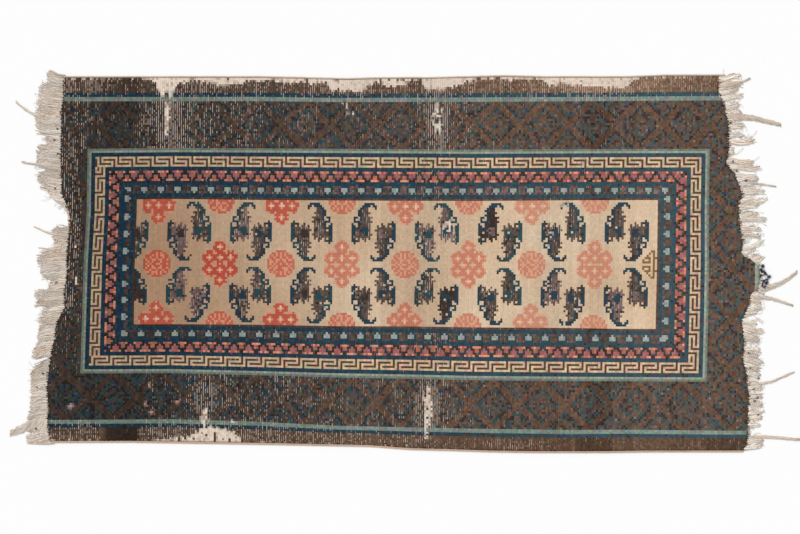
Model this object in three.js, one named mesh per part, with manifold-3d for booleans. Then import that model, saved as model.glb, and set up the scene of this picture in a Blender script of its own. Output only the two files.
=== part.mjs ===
// A worn runner rug of the Ningxia kind, lying flat with its pile up.
//
// The rug was knotted in one piece: wool knots on cotton warps, which run from left to right and hang
// loose at both ends as the fringes. Its long edges are selvedges, cords of a few warps wrapped with weft.
// Millimetres. +X runs along the warps to the right end, +Y across the rug, +Z up from the floor.
// The origin is on the floor, in the middle of the box that holds the rug and its fringes.

import * as THREE from 'three';
import { mergeVertices } from 'three/addons/utils/BufferGeometryUtils.js';
import Module from 'manifold-3d';

const wasm = await Module();
wasm.setup();

// Thicknesses
const FOUNDATION = 3.0; // bare warps and wefts, where the pile is gone
const PILE = 4.0; // wool standing on the foundation where it is whole
const SHOULDER = 12; // width over which the pile rounds down at the rug's edge
const SHOULDER_DROP = 1.2; // how much lower the pile is at that edge
const GAP = 0.3; // between neighbouring pieces

// Selvedges
const SELVEDGE_WIDTH = 6.0;
const SELVEDGE_HEIGHT = 5.0;
const SELVEDGE_SIDES = 6;
const UPPER_SELVEDGE_TAIL = 22; // the upper cord runs on past the pile's right end
const LOWER_SELVEDGE_TAIL = 0;

// Fringes
const STRIP_WIDTH = 8; // the last wefts, which the warps come out of
const STRIP_HEIGHT = 3;
const ROOT_DEPTH = 3; // how far a lock's root reaches into the strip
const LOCK_STEPS = 3; // straight stretches in a lock
const LOCK_UNEVENNESS = 0.16; // how much longer or shorter than its neighbours a lock may be
const LOCK_BOW = 1.2; // how far a lock may bow to one side
const LEFT_PITCH = 9.6;
const LEFT_LOCK = { width: 7.6, height: 5.0, tip: 0.55 };
const RIGHT_PITCH = 10.6;
const RIGHT_LOCK = { width: 7.2, height: 4.6, tip: 0.5 };

// Steps in the body's grid
const STEPS_LONG = 42;
const STEPS_ACROSS = 38;

// The rug's outline, each row a point on it: the two worn ends from the lower corner to the upper one,
// and the two long sides from left to right. The sides are those of the selvedges' outer faces.
const LEFT_END = [
  { y: -542, x: -1064 }, { y: -503, x: -1074 }, { y: -473, x: -1076 }, { y: -446, x: -1072 },
  { y: -374, x: -1077 }, { y: -335, x: -1072 }, { y: -287, x: -1066 }, { y: -230, x: -1055 },
  { y: -179, x: -1047 }, { y: -158, x: -1035 }, { y: -131, x: -1022 }, { y: -92, x: -1025 },
  { y: -50, x: -1019 }, { y: -23, x: -1014 }, { y: 4, x: -1019 }, { y: 82, x: -1012 },
  { y: 109, x: -1007 }, { y: 136, x: -1007 }, { y: 163, x: -1014 }, { y: 190, x: -1025 },
  { y: 205, x: -1032 }, { y: 313, x: -1035 }, { y: 454, x: -1033 }, { y: 500, x: -1027 },
  { y: 559, x: -1029 },
];
const RIGHT_END = [
  { y: -569, x: 1014 }, { y: -533, x: 1024 }, { y: -446, x: 1026 }, { y: -403, x: 1028 },
  { y: -351, x: 1023 }, { y: -287, x: 1010 }, { y: -245, x: 1014 }, { y: -173, x: 1007 },
  { y: -145, x: 1021 }, { y: -118, x: 1029 }, { y: -92, x: 1035 }, { y: -80, x: 1056 },
  { y: -38, x: 1062 }, { y: -8, x: 1058 }, { y: 8, x: 1034 }, { y: 26, x: 1003 },
  { y: 55, x: 1011 }, { y: 109, x: 1002 }, { y: 172, x: 998 }, { y: 205, x: 1010 },
  { y: 245, x: 993 }, { y: 269, x: 985 }, { y: 286, x: 968 }, { y: 299, x: 960 },
  { y: 340, x: 968 }, { y: 403, x: 968 }, { y: 433, x: 964 }, { y: 487, x: 948 },
  { y: 516, x: 937 }, { y: 561, x: 939 },
];
const UPPER_SIDE = [
  { x: -1029, y: 560 }, { x: -420, y: 560 }, { x: -300, y: 557 }, { x: -180, y: 554 },
  { x: -60, y: 557 }, { x: 60, y: 557 }, { x: 180, y: 560 }, { x: 300, y: 563 },
  { x: 420, y: 560 }, { x: 660, y: 560 }, { x: 780, y: 565 }, { x: 961, y: 565 },
];
const LOWER_SIDE = [
  { x: -1064, y: -542 }, { x: -828, y: -541 }, { x: -588, y: -545 }, { x: -348, y: -549 },
  { x: -108, y: -554 }, { x: 12, y: -563 }, { x: 132, y: -566 }, { x: 252, y: -570 },
  { x: 372, y: -572 }, { x: 612, y: -572 }, { x: 732, y: -570 }, { x: 1014, y: -570 },
];

// Places where the pile is worn down to the warps: soft-edged ovals, halfX and halfY in size.
const WORN_THROUGH = 0.6; // share of an oval's size within which no pile is left
const WORN_RIM = 1.15; // share of its size at which the pile is whole again
const WORN = [
  { x: -720, y: 528, halfX: 34, halfY: 30 },
  { x: -714, y: 440, halfX: 20, halfY: 95 },
  { x: -550, y: 540, halfX: 62, halfY: 26 },
  { x: -180, y: 530, halfX: 70, halfY: 32 },
  { x: -40, y: 535, halfX: 60, halfY: 22 },
  { x: 95, y: 415, halfX: 42, halfY: 90 },
  { x: 130, y: 530, halfX: 60, halfY: 22 },
  { x: 560, y: 530, halfX: 150, halfY: 24 },
  { x: 118, y: 80, halfX: 48, halfY: 40 },
  { x: 455, y: 125, halfX: 40, halfY: 78 },
  { x: -560, y: -490, halfX: 80, halfY: 52 },
  { x: -600, y: -400, halfX: 26, halfY: 48 },
  { x: 65, y: -460, halfX: 40, halfY: 100 },
  { x: 330, y: -545, halfX: 120, halfY: 20 },
];

// How far the loose locks reach from the strip, and how far their tips lean along the end, at places
// along each end. A lock between two rows takes a value between theirs. A reach of 0 is a bare stretch.
const LEFT_LOCKS = [
  { y: -541, reach: 62, lean: -4 }, { y: -500, reach: 66, lean: -14 }, { y: -470, reach: 60, lean: -6 },
  { y: -440, reach: 56, lean: -10 }, { y: -380, reach: 52, lean: -14 }, { y: -302, reach: 56, lean: -10 },
  { y: -296, reach: 12, lean: -4 }, { y: -262, reach: 14, lean: -4 }, { y: -254, reach: 66, lean: -12 },
  { y: -200, reach: 60, lean: -10 }, { y: -150, reach: 66, lean: -6 }, { y: -105, reach: 78, lean: 2 },
  { y: -80, reach: 60, lean: -8 }, { y: -45, reach: 52, lean: -4 }, { y: -34, reach: 74, lean: -12 },
  { y: 30, reach: 88, lean: -6 }, { y: 34, reach: 34, lean: 4 }, { y: 60, reach: 50, lean: 0 },
  { y: 86, reach: 60, lean: 10 }, { y: 92, reach: 6, lean: 0 }, { y: 160, reach: 8, lean: 0 },
  { y: 172, reach: 34, lean: 6 }, { y: 200, reach: 56, lean: 14 }, { y: 250, reach: 74, lean: 8 },
  { y: 300, reach: 82, lean: 14 }, { y: 335, reach: 80, lean: 10 }, { y: 352, reach: 46, lean: 8 },
  { y: 376, reach: 52, lean: 10 }, { y: 392, reach: 78, lean: 12 }, { y: 440, reach: 92, lean: 14 },
  { y: 500, reach: 82, lean: 10 }, { y: 530, reach: 58, lean: 14 }, { y: 556, reach: 38, lean: 17 },
];
const RIGHT_LOCKS = [
  { y: -566, reach: 46, lean: 2 }, { y: -530, reach: 50, lean: 4 }, { y: -518, reach: 8, lean: 0 },
  { y: -500, reach: 14, lean: -4 }, { y: -484, reach: 44, lean: -6 }, { y: -430, reach: 46, lean: -10 },
  { y: -360, reach: 44, lean: -12 }, { y: -300, reach: 52, lean: -10 }, { y: -225, reach: 50, lean: -8 },
  { y: -170, reach: 58, lean: -4 }, { y: -120, reach: 40, lean: -4 }, { y: -90, reach: 34, lean: -8 },
  { y: -60, reach: 16, lean: 4 }, { y: -10, reach: 18, lean: 6 }, { y: 12, reach: 42, lean: 10 },
  { y: 48, reach: 58, lean: 8 }, { y: 54, reach: 8, lean: 0 }, { y: 72, reach: 10, lean: 0 },
  { y: 80, reach: 62, lean: -8 }, { y: 170, reach: 72, lean: 4 }, { y: 205, reach: 60, lean: -2 },
  { y: 232, reach: 44, lean: 10 }, { y: 262, reach: 74, lean: -6 }, { y: 306, reach: 96, lean: -2 },
  { y: 326, reach: 20, lean: 2 }, { y: 350, reach: 22, lean: 2 }, { y: 366, reach: 84, lean: -4 },
  { y: 392, reach: 50, lean: 0 }, { y: 440, reach: 42, lean: 6 }, { y: 500, reach: 62, lean: 8 },
  { y: 545, reach: 64, lean: 14 },
];

// Longer strings that stand out from the rest: where one leaves the strip, how far out and along it ends,
// its width at the root, and how far it bows on the way.
const LEFT_STRINGS = [
  { y: -490, out: 106, along: -30, width: 17, bow: 6 },
  { y: 82, out: 104, along: 26, width: 6, bow: -4 },
  { y: 286, out: 118, along: 16, width: 7, bow: 6 },
  { y: 424, out: 136, along: 58, width: 12, bow: -6 },
  { y: 546, out: 36, along: 23.5, width: 9, bow: 0 },
];
const RIGHT_STRINGS = [
  { y: -528, out: 158.5, along: -4, width: 10, bow: 8 },
  { y: -360, out: 140, along: 32, width: 8, bow: -12 },
  { y: -106, out: 128, along: -24, width: 12, bow: 6 },
  { y: -76, out: 116, along: 48, width: 17, bow: -6 },
  { y: 236, out: 112, along: -8, width: 7, bow: 6 },
  { y: 434, out: 160, along: -22, width: 18, bow: 8 },
  { y: 534, out: 94, along: 18, width: 9, bow: -10 },
];
const STRING_STEPS = 6;
const STRING_HEIGHT = 5.5;

// Finishes
const FINISHES = {
  pile: { color: 0x6b5346, roughness: 0.95 },
  cotton: { color: 0xd8cbbd, roughness: 0.9 },
  tan_cotton: { color: 0xc9a98a, roughness: 0.9 },
};

function finish(name) {
  return new THREE.MeshStandardMaterial({ ...FINISHES[name], metalness: 0 });
}

// The value of one column at a place between two rows of a table.
function between(table, key, place, column) {
  if (place <= table[0][key]) return table[0][column];
  for (let row = 1; row < table.length; row += 1) {
    const low = table[row - 1];
    const high = table[row];
    if (place <= high[key]) {
      const part = (place - low[key]) / (high[key] - low[key]);
      return THREE.MathUtils.lerp(low[column], high[column], part);
    }
  }
  return table[table.length - 1][column];
}

// An even scatter from -1 to 1, the same each time for the same number.
function scatter(number) {
  const wave = Math.sin(number * 12.9898) * 43758.5453;
  return 2 * (wave - Math.floor(wave)) - 1;
}

// A closed mesh as a solid that can be joined to others.
function solid(geometry) {
  const bare = geometry.clone();
  bare.deleteAttribute('normal');
  bare.deleteAttribute('uv');
  const merged = mergeVertices(bare, 1e-4);
  return new wasm.Manifold(new wasm.Mesh({
    numProp: 3,
    vertProperties: new Float32Array(merged.attributes.position.array),
    triVerts: new Uint32Array(merged.index.array),
  }));
}

function geometryOf(body) {
  const mesh = body.getMesh();
  const geometry = new THREE.BufferGeometry();
  geometry.setAttribute('position', new THREE.BufferAttribute(new Float32Array(mesh.vertProperties), 3));
  geometry.setIndex(new THREE.BufferAttribute(new Uint32Array(mesh.triVerts), 1));
  geometry.computeVertexNormals();
  return geometry;
}

// Rings of equal length, one after another, closed by a fan at each end.
function skin(rings) {
  const sides = rings[0].length;
  const points = rings.flat();
  const faces = [];
  for (let ring = 0; ring < rings.length - 1; ring += 1) {
    for (let side = 0; side < sides; side += 1) {
      const a = ring * sides + side;
      const b = ring * sides + (side + 1) % sides;
      faces.push(a, b, b + sides, a, b + sides, a + sides);
    }
  }
  const last = (rings.length - 1) * sides;
  for (let side = 1; side < sides - 1; side += 1) {
    faces.push(0, side + 1, side);
    faces.push(last, last + side, last + side + 1);
  }
  const geometry = new THREE.BufferGeometry();
  const flat = points.flatMap((point) => [point.x, point.y, point.z]);
  geometry.setAttribute('position', new THREE.Float32BufferAttribute(flat, 3));
  geometry.setIndex(faces);
  geometry.computeVertexNormals();
  return geometry;
}

// The long edges of the cloth, inside the selvedges.
const selvedgeRoom = SELVEDGE_WIDTH + GAP;
const lowEdge = (x) => between(LOWER_SIDE, 'x', x, 'y') + selvedgeRoom;
const highEdge = (x) => between(UPPER_SIDE, 'x', x, 'y') - selvedgeRoom;

// Where one end lies at a share of the way from its lower corner to its upper one.
function endX(end, across) {
  const low = lowEdge(end[0].x);
  const high = highEdge(end[end.length - 1].x);
  return between(end, 'y', THREE.MathUtils.lerp(low, high, across), 'x');
}

// A point of the cloth in plan, by its shares of the way along the rug and across it.
function clothPoint(along, across) {
  const x = THREE.MathUtils.lerp(endX(LEFT_END, across), endX(RIGHT_END, across), along);
  const y = THREE.MathUtils.lerp(lowEdge(x), highEdge(x), across);
  return new THREE.Vector2(x, y);
}

// Even shares from 0 to 1, with one more close to each end for the shoulder of the pile.
function shares(steps, size) {
  const list = [0, SHOULDER / size];
  for (let step = 1; step < steps; step += 1) list.push(step / steps);
  list.push(1 - SHOULDER / size, 1);
  return list;
}

const ALONGS = shares(STEPS_LONG, RIGHT_END[0].x - LEFT_END[0].x);
const ACROSSES = shares(STEPS_ACROSS, UPPER_SIDE[0].y - LOWER_SIDE[0].y);

function wornAt(x, y) {
  let worn = 0;
  for (const place of WORN) {
    const reach = Math.hypot((x - place.x) / place.halfX, (y - place.y) / place.halfY);
    worn = Math.max(worn, 1 - THREE.MathUtils.smoothstep(reach, WORN_THROUGH, WORN_RIM));
  }
  return worn;
}

// The cloth: a flat underside, a low wall round the outline, and the pile's top with its worn hollows.
function rugBody() {
  const columns = ALONGS.length;
  const rows = ACROSSES.length;

  const points = [];
  ACROSSES.forEach((across, row) => ALONGS.forEach((along, column) => {
    const { x, y } = clothPoint(along, across);
    const atEdge = row === 0 || row === rows - 1 || column === 0 || column === columns - 1;
    const pile = PILE * (1 - wornAt(x, y));
    const top = FOUNDATION + Math.max(0, pile - (atEdge ? SHOULDER_DROP : 0));
    points.push(x, y, top);
  }));

  const faces = [];
  const at = (row, column) => row * columns + column;
  for (let row = 0; row < rows - 1; row += 1) {
    for (let column = 0; column < columns - 1; column += 1) {
      const a = at(row, column);
      const b = at(row, column + 1);
      const c = at(row + 1, column + 1);
      const d = at(row + 1, column);
      if ((row + column) % 2) faces.push(a, b, c, a, c, d);
      else faces.push(a, b, d, b, c, d);
    }
  }

  const rim = [];
  for (let column = 0; column < columns - 1; column += 1) rim.push(at(0, column));
  for (let row = 0; row < rows - 1; row += 1) rim.push(at(row, columns - 1));
  for (let column = columns - 1; column > 0; column -= 1) rim.push(at(rows - 1, column));
  for (let row = rows - 1; row > 0; row -= 1) rim.push(at(row, 0));

  const under = points.length / 3;
  const floor = rim.map((top) => new THREE.Vector2(points[top * 3], points[top * 3 + 1]));
  floor.forEach((place) => points.push(place.x, place.y, 0));
  rim.forEach((top, index) => {
    const next = (index + 1) % rim.length;
    faces.push(under + index, under + next, rim[next]);
    faces.push(under + index, rim[next], top);
  });
  for (const [a, b, c] of THREE.ShapeUtils.triangulateShape(floor, [])) {
    faces.push(under + a, under + c, under + b);
  }

  const geometry = new THREE.BufferGeometry();
  geometry.setAttribute('position', new THREE.Float32BufferAttribute(points, 3));
  geometry.setIndex(faces);
  geometry.computeVertexNormals();
  return geometry;
}

// One end of the cloth as a line of points from its lower corner to its upper one.
function endLine(along) {
  return ACROSSES.map((across) => clothPoint(along, across));
}

// The same line moved outwards (side 1 to the right, -1 to the left), measured square to it.
function moved(line, distance, side) {
  return line.map((point, index) => {
    const before = line[Math.max(0, index - 1)];
    const after = line[Math.min(line.length - 1, index + 1)];
    const enter = point.clone().sub(before);
    const leave = after.clone().sub(point);
    if (index === 0) enter.copy(leave);
    if (index === line.length - 1) leave.copy(enter);
    const one = new THREE.Vector2(enter.y, -enter.x).normalize();
    const two = new THREE.Vector2(leave.y, -leave.x).normalize();
    const mitre = one.clone().add(two).normalize();
    const stretch = distance / Math.max(0.6, mitre.dot(one));
    return point.clone().addScaledVector(mitre, side * stretch);
  });
}

// The last wefts beyond the pile, a flat strip that the warps come out of.
function strip(line, side) {
  const near = moved(line, GAP, side);
  const far = moved(line, GAP + STRIP_WIDTH, side);
  const outline = new THREE.Shape([...near, ...far.reverse()]);
  return solid(new THREE.ExtrudeGeometry(outline, { depth: STRIP_HEIGHT, bevelEnabled: false }));
}

// A lock of warps lying on the floor: three-sided, flat below, narrowing to its tip.
function lock(route, width, height, tip) {
  const rings = route.map((point, index) => {
    const before = route[Math.max(0, index - 1)];
    const after = route[Math.min(route.length - 1, index + 1)];
    const across = new THREE.Vector2(before.y - after.y, after.x - before.x).normalize();
    const size = THREE.MathUtils.lerp(1, tip, index / (route.length - 1));
    const half = across.multiplyScalar(width * size / 2);
    return [
      new THREE.Vector3(point.x + half.x, point.y + half.y, 0),
      new THREE.Vector3(point.x, point.y, height * size),
      new THREE.Vector3(point.x - half.x, point.y - half.y, 0),
    ];
  });
  return solid(skin(rings));
}

// A curved way from the strip to a lock's tip.
function route(start, side, out, along, bow, steps) {
  const points = [];
  for (let step = 0; step <= steps; step += 1) {
    const part = step / steps;
    const x = start.x + side * (out * part);
    const y = start.y + along * part * part + bow * Math.sin(Math.PI * part) * (1 - part);
    points.push(new THREE.Vector2(x, y));
  }
  return points;
}

function fringe({ along, side, pitch, size, table, strings }) {
  const line = endLine(along);
  const mid = moved(line, GAP + STRIP_WIDTH - ROOT_DEPTH, side).map(({ x, y }) => ({ x, y }));
  const low = mid[0].y;
  const high = mid[mid.length - 1].y;
  const count = Math.floor((high - low) / pitch);
  const pieces = [strip(line, side)];
  const nearString = (y) => strings.some((string) => Math.abs(string.y - y) < string.width / 2 + pitch / 2);

  for (let index = 0; index < count; index += 1) {
    const y = low + (high - low) * (index + 0.5) / count;
    const reach = between(table, 'y', y, 'reach') * (1 + LOCK_UNEVENNESS * scatter(index + 1));
    if (reach < STRIP_WIDTH || nearString(y)) continue;
    const start = { x: between(mid, 'y', y, 'x'), y };
    const lean = between(table, 'y', y, 'lean');
    const bow = LOCK_BOW * scatter(index + count);
    const way = route(start, side, reach + ROOT_DEPTH, lean, bow, LOCK_STEPS);
    pieces.push(lock(way, size.width, size.height, size.tip));
  }
  for (const string of strings) {
    const start = { x: between(mid, 'y', string.y, 'x'), y: string.y };
    const way = route(start, side, string.out + ROOT_DEPTH, string.along, string.bow, STRING_STEPS);
    pieces.push(lock(way, string.width, STRING_HEIGHT, size.tip));
  }
  return geometryOf(wasm.Manifold.union(pieces));
}

// An edge cord along one long side, lying on the floor: outer is 1 for the upper side, -1 for the lower.
function selvedge(edge, outer, tail) {
  const across = outer > 0 ? 1 : 0;
  const rings = ALONGS.map((along) => {
    const point = clothPoint(along, across);
    const x = point.x + (along === 1 ? tail : 0);
    const y = edge(point.x) + outer * (GAP + SELVEDGE_WIDTH / 2);
    const ring = [];
    for (let side = 0; side < SELVEDGE_SIDES; side += 1) {
      const turn = side / SELVEDGE_SIDES * 2 * Math.PI;
      const wide = Math.cos(turn) * SELVEDGE_WIDTH / 2;
      const tall = (1 + Math.sin(turn) / Math.sin(Math.PI / 3)) * SELVEDGE_HEIGHT / 2;
      ring.push(new THREE.Vector3(x, y + wide, tall));
    }
    return ring;
  });
  return skin(rings);
}

function piece(name, geometry, material) {
  const mesh = new THREE.Mesh(geometry, finish(material));
  mesh.name = name;
  return mesh;
}

const rug = new THREE.Group();
rug.add(
  piece('rug_body', rugBody(), 'pile'),
  piece('fringe_left', fringe({
    along: 0, side: -1, pitch: LEFT_PITCH, size: LEFT_LOCK, table: LEFT_LOCKS, strings: LEFT_STRINGS,
  }), 'cotton'),
  piece('fringe_right', fringe({
    along: 1, side: 1, pitch: RIGHT_PITCH, size: RIGHT_LOCK, table: RIGHT_LOCKS, strings: RIGHT_STRINGS,
  }), 'cotton'),
  piece('selvedge_upper', selvedge(highEdge, 1, UPPER_SELVEDGE_TAIL), 'cotton'),
  piece('selvedge_lower', selvedge(lowEdge, -1, LOWER_SELVEDGE_TAIL), 'tan_cotton'),
);

export default rug;
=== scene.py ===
# %% [markdown]
# A worn runner rug, knotted by hand in wool on cotton. It lies flat, with its pile up and its loose
# warps spread out at both ends.
#
# The lesson goes the way the rug was made: first the loom and its threads, then the pattern, one knot at
# a time, then the years of wear, and last the finish of each yarn. The frame comes first, because every
# piece stands for a part of it and has to stay where that part is.

import bpy
import numpy as np
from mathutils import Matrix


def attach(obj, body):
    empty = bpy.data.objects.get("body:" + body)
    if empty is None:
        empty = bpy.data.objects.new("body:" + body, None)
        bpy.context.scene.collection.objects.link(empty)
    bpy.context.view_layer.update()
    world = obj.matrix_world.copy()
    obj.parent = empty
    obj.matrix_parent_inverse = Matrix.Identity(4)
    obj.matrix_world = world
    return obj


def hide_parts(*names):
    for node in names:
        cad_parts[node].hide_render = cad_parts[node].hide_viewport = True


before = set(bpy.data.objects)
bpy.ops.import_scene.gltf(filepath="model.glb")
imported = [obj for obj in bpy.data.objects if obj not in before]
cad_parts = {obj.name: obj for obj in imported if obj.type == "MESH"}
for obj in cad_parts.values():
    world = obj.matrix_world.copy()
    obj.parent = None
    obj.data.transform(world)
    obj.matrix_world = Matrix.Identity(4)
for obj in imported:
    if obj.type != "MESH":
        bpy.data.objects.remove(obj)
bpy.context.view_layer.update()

# %% [markdown]
# All sizes below are millimetres, as a rug maker would give them, and a mesh is turned into metres where
# it is made. A table is a few rows of stations, with named columns. Its first column says where the
# stations are, and between two of them a value lies on the straight line from one to the other. The outline
# is the frame's own: two ragged ends and two long sides.

# %% Tables and the outline
MM = 0.001


def table(columns, rows):
    """A small table as named columns, with a row for each station."""
    return dict(zip(columns.split(), np.array(rows, float).T))


def look_up(stations, column, places):
    """The values of a table's column at the given places."""
    return np.interp(places, next(iter(stations.values())), stations[column])


LEFT_END = table("y x", [
    (-542, -1064), (-503, -1074), (-473, -1076), (-446, -1072), (-374, -1077), (-335, -1072), (-287, -1066),
    (-230, -1055), (-179, -1047), (-158, -1035), (-131, -1022), (-92, -1025), (-50, -1019), (-23, -1014),
    (4, -1019), (82, -1012), (109, -1007), (136, -1007), (163, -1014), (190, -1025), (205, -1032),
    (313, -1035), (454, -1033), (500, -1027), (559, -1029),
])
RIGHT_END = table("y x", [
    (-569, 1014), (-533, 1024), (-446, 1026), (-403, 1028), (-351, 1023), (-287, 1010), (-245, 1014),
    (-173, 1007), (-145, 1021), (-118, 1029), (-92, 1035), (-80, 1056), (-38, 1062), (-8, 1058),
    (8, 1034), (26, 1003), (55, 1011), (109, 1002), (172, 998), (205, 1010), (245, 993), (269, 985),
    (286, 968), (299, 960), (340, 968), (403, 968), (433, 964), (487, 948), (516, 937), (561, 939),
])
UPPER_SIDE = table("x y", [
    (-1029, 560), (-420, 560), (-300, 557), (-180, 554), (-60, 557), (60, 557), (180, 560), (300, 563),
    (420, 560), (660, 560), (780, 565), (961, 565),
])
LOWER_SIDE = table("x y", [
    (-1064, -542), (-828, -541), (-588, -545), (-348, -549), (-108, -554), (12, -563), (132, -566),
    (252, -570), (372, -572), (612, -572), (732, -570), (1014, -570),
])
SELVEDGE_WIDTH = 6.0
SELVEDGE_HEIGHT = 5.0
SELVEDGE_ROOM = 6.3
FOUNDATION = 3.0
PILE = 4.0


def low_edge(x):
    return look_up(LOWER_SIDE, "y", x) + SELVEDGE_ROOM


def high_edge(x):
    return look_up(UPPER_SIDE, "y", x) - SELVEDGE_ROOM


def left_end(y):
    return look_up(LEFT_END, "x", y)


def right_end(y):
    return look_up(RIGHT_END, "x", y)


print("The cloth is", right_end(0) - left_end(0), "mm long and", high_edge(0) - low_edge(0), "mm wide")

# %% [markdown]
# A loom sets everything on a grid: one knot to a pair of warps, and a row of knots to every pass of the
# weft. The grid isn't true, because a weaver beats the wefts down harder in some rows than in others, so
# the drawn lines of a real rug wander. The rug could be a plain grid that is warped afterwards. Here each
# drawn line has its own places instead, and the threads between two lines share the room evenly.
#
# Columns of knots are counted from the left and rows from the lower edge.

# %% The loom's grid
ROWS = 175
COLUMNS = 343
KNOT = 6.3
FRAME_ROWS = (33, 142)
FRAME_COLUMNS = (19, 317)
FIELD_COLUMNS = (44, 292)

ROW_NUMBERS = [0, 10, 34, 58, 65, 87.5, 110, 117, 141, 165, ROWS]
LINE_NAMES = "low_guard low_frame low_field low_bats middle high_bats high_field high_frame high_guard"
ROW_LINES = table("x " + LINE_NAMES, [
    (-1000, -479.0, -327.0, -187.0, -140.0, -4.5, 139.5, 187.0, 334.0, 489.5),
    (-700, -477.0, -326.0, -185.5, -139.5, -4.5, 139.5, 190.0, 336.5, 489.5),
    (-450, -484.0, -332.0, -187.0, -140.0, -4.5, 139.0, 187.0, 335.5, 490.0),
    (-200, -497.0, -339.0, -191.5, -144.5, -6.7, 137.5, 185.5, 334.0, 487.0),
    (0, -501.5, -342.5, -192.0, -145.0, -7.5, 136.5, 184.5, 333.0, 487.5),
    (200, -505.5, -347.0, -195.0, -146.5, -8.3, 136.5, 184.0, 331.5, 488.0),
    (500, -509.5, -349.5, -197.0, -150.0, -7.0, 138.5, 186.0, 333.0, 489.5),
    (640, -508.5, -350.0, -199.5, -152.0, -7.0, 140.5, 186.5, 333.5, 490.5),
    (960, -511.5, -352.0, -200.5, -153.0, -7.0, 141.0, 187.0, 334.0, 492.5),
])
COLUMN_NUMBERS = [0, 20, 44, 142, 292, 316, COLUMNS]
COLUMN_LINES = table("y left_frame left_field third_motif right_field right_frame", [
    (-330, -970.5, -818.0, -197.0, 746.0, 896.0),
    (-150, -965.0, -816.0, -196.0, 749.5, 900.5),
    (0, -960.5, -813.5, -195.5, 753.0, 902.5),
    (150, -951.5, -807.5, -195.0, 755.0, 902.0),
    (330, -949.0, -806.0, -194.0, 757.0, 905.0),
])


def between_lines(lines, numbers, thread):
    """The place of a thread, which shares the room between the drawn lines on either side of it."""
    line = min(np.searchsorted(numbers, thread, side="right") - 1, len(numbers) - 2)
    part = (thread - numbers[line]) / (numbers[line + 1] - numbers[line])
    return lines[line] * (1 - part) + lines[line + 1] * part


def drawn_lines(lines, places):
    return [look_up(lines, name, places) for name in list(lines)[1:]]


def row_lines(x):
    return [low_edge(x), *drawn_lines(ROW_LINES, x), high_edge(x)]


def column_lines(y):
    drawn = drawn_lines(COLUMN_LINES, y)
    outer_left = drawn[0] - KNOT * COLUMN_NUMBERS[1]
    outer_right = drawn[-1] + KNOT * (COLUMNS - COLUMN_NUMBERS[-2])
    return [outer_left, *drawn, outer_right]


def thread_grid():
    """Places of the corners between knots, as two arrays of rows by columns."""
    middle = column_lines(0.0)
    start = np.array([between_lines(middle, COLUMN_NUMBERS, thread) for thread in range(COLUMNS + 1)])
    lines = row_lines(start)
    y = np.array([between_lines(lines, ROW_NUMBERS, thread) for thread in range(ROWS + 1)])
    x = np.empty_like(y)
    for thread in range(COLUMNS + 1):
        x[:, thread] = between_lines(column_lines(y[:, thread]), COLUMN_NUMBERS, thread)
    return x, y


corner_x, corner_y = thread_grid()
knot_x = (corner_x[:-1, :-1] + corner_x[1:, 1:]) / 2
knot_y = (corner_y[:-1, :-1] + corner_y[1:, 1:]) / 2
print("The grid has", ROWS * COLUMNS, "knots")

# %% [markdown]
# Hand work is never even, and most of what follows leans on two kinds of scatter: a value for each knot
# on its own, and a soft one that changes over several knots. The soft one is made by hand too, from a
# coarse grid of random values with smooth steps between them. Every use has its own seed, so that the rug
# comes out the same each time.

# %% Scatter


def smooth(part):
    """Gives an even rise from 0 to 1 a soft start and a soft end."""
    return part * part * (3 - 2 * part)


def soft_scatter(seed, row_cell, column_cell):
    """Random values from -1 to 1, with patches of about the given number of knots."""
    size = (int(ROWS / row_cell) + 3, int(COLUMNS / column_cell) + 3)
    coarse = np.random.default_rng(seed).uniform(-1, 1, size)
    down = np.arange(ROWS) / row_cell
    along = np.arange(COLUMNS) / column_cell
    row = down.astype(int)
    column = along.astype(int)
    fade_row = smooth(down - row)[:, None]
    fade_column = smooth(along - column)[None, :]
    near, far = (
        coarse[line][:, column] * (1 - fade_column) + coarse[line][:, column + 1] * fade_column
        for line in (row, row + 1)
    )
    return near * (1 - fade_row) + far * fade_row


def each_knot(seed):
    """A random value from 0 to 1 for each knot."""
    return np.random.default_rng(seed).random((ROWS, COLUMNS))


def ramp(value, low, high):
    """0 below low, 1 above high, and a smooth rise between."""
    return smooth(np.clip((value - low) / (high - low), 0, 1))


print("Soft scatter spans", soft_scatter(1, 9, 9).min(), "to", soft_scatter(1, 9, 9).max())

# %% [markdown]
# The dyer's shelf. Each yarn colour has a name, and the pattern below only ever says names. The brown wool
# of the borders came in several batches, which is why such rugs change shade in bands along their length.

# %% Dyes
DYES = {
    "brown": (87, 74, 66), "rust": (97, 73, 58), "dark": (60, 49, 45), "guard_brown": (98, 77, 62),
    "slate": (53, 62, 66), "moss": (62, 70, 62), "navy": (30, 53, 70), "teal": (34, 67, 75),
    "violet": (78, 66, 80), "pale_green": (144, 152, 138), "dull_green": (112, 120, 110),
    "guard_green": (120, 134, 126), "cream": (206, 181, 153), "fret_cream": (200, 174, 145),
    "fret_brown": (88, 66, 52), "line_brown": (88, 68, 58), "outline": (128, 98, 64), "red": (182, 72, 57),
    "coral": (192, 104, 84), "rose": (188, 90, 71), "apricot": (214, 142, 112), "brick": (160, 104, 92),
    "pink": (156, 94, 96), "star": (224, 184, 156), "pearl": (152, 156, 148), "mauve": (112, 92, 88),
    "bare": (224, 207, 191),
}
DYE_NAMES = list(DYES)
CODE = {name: number for number, name in enumerate(DYE_NAMES)}

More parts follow.
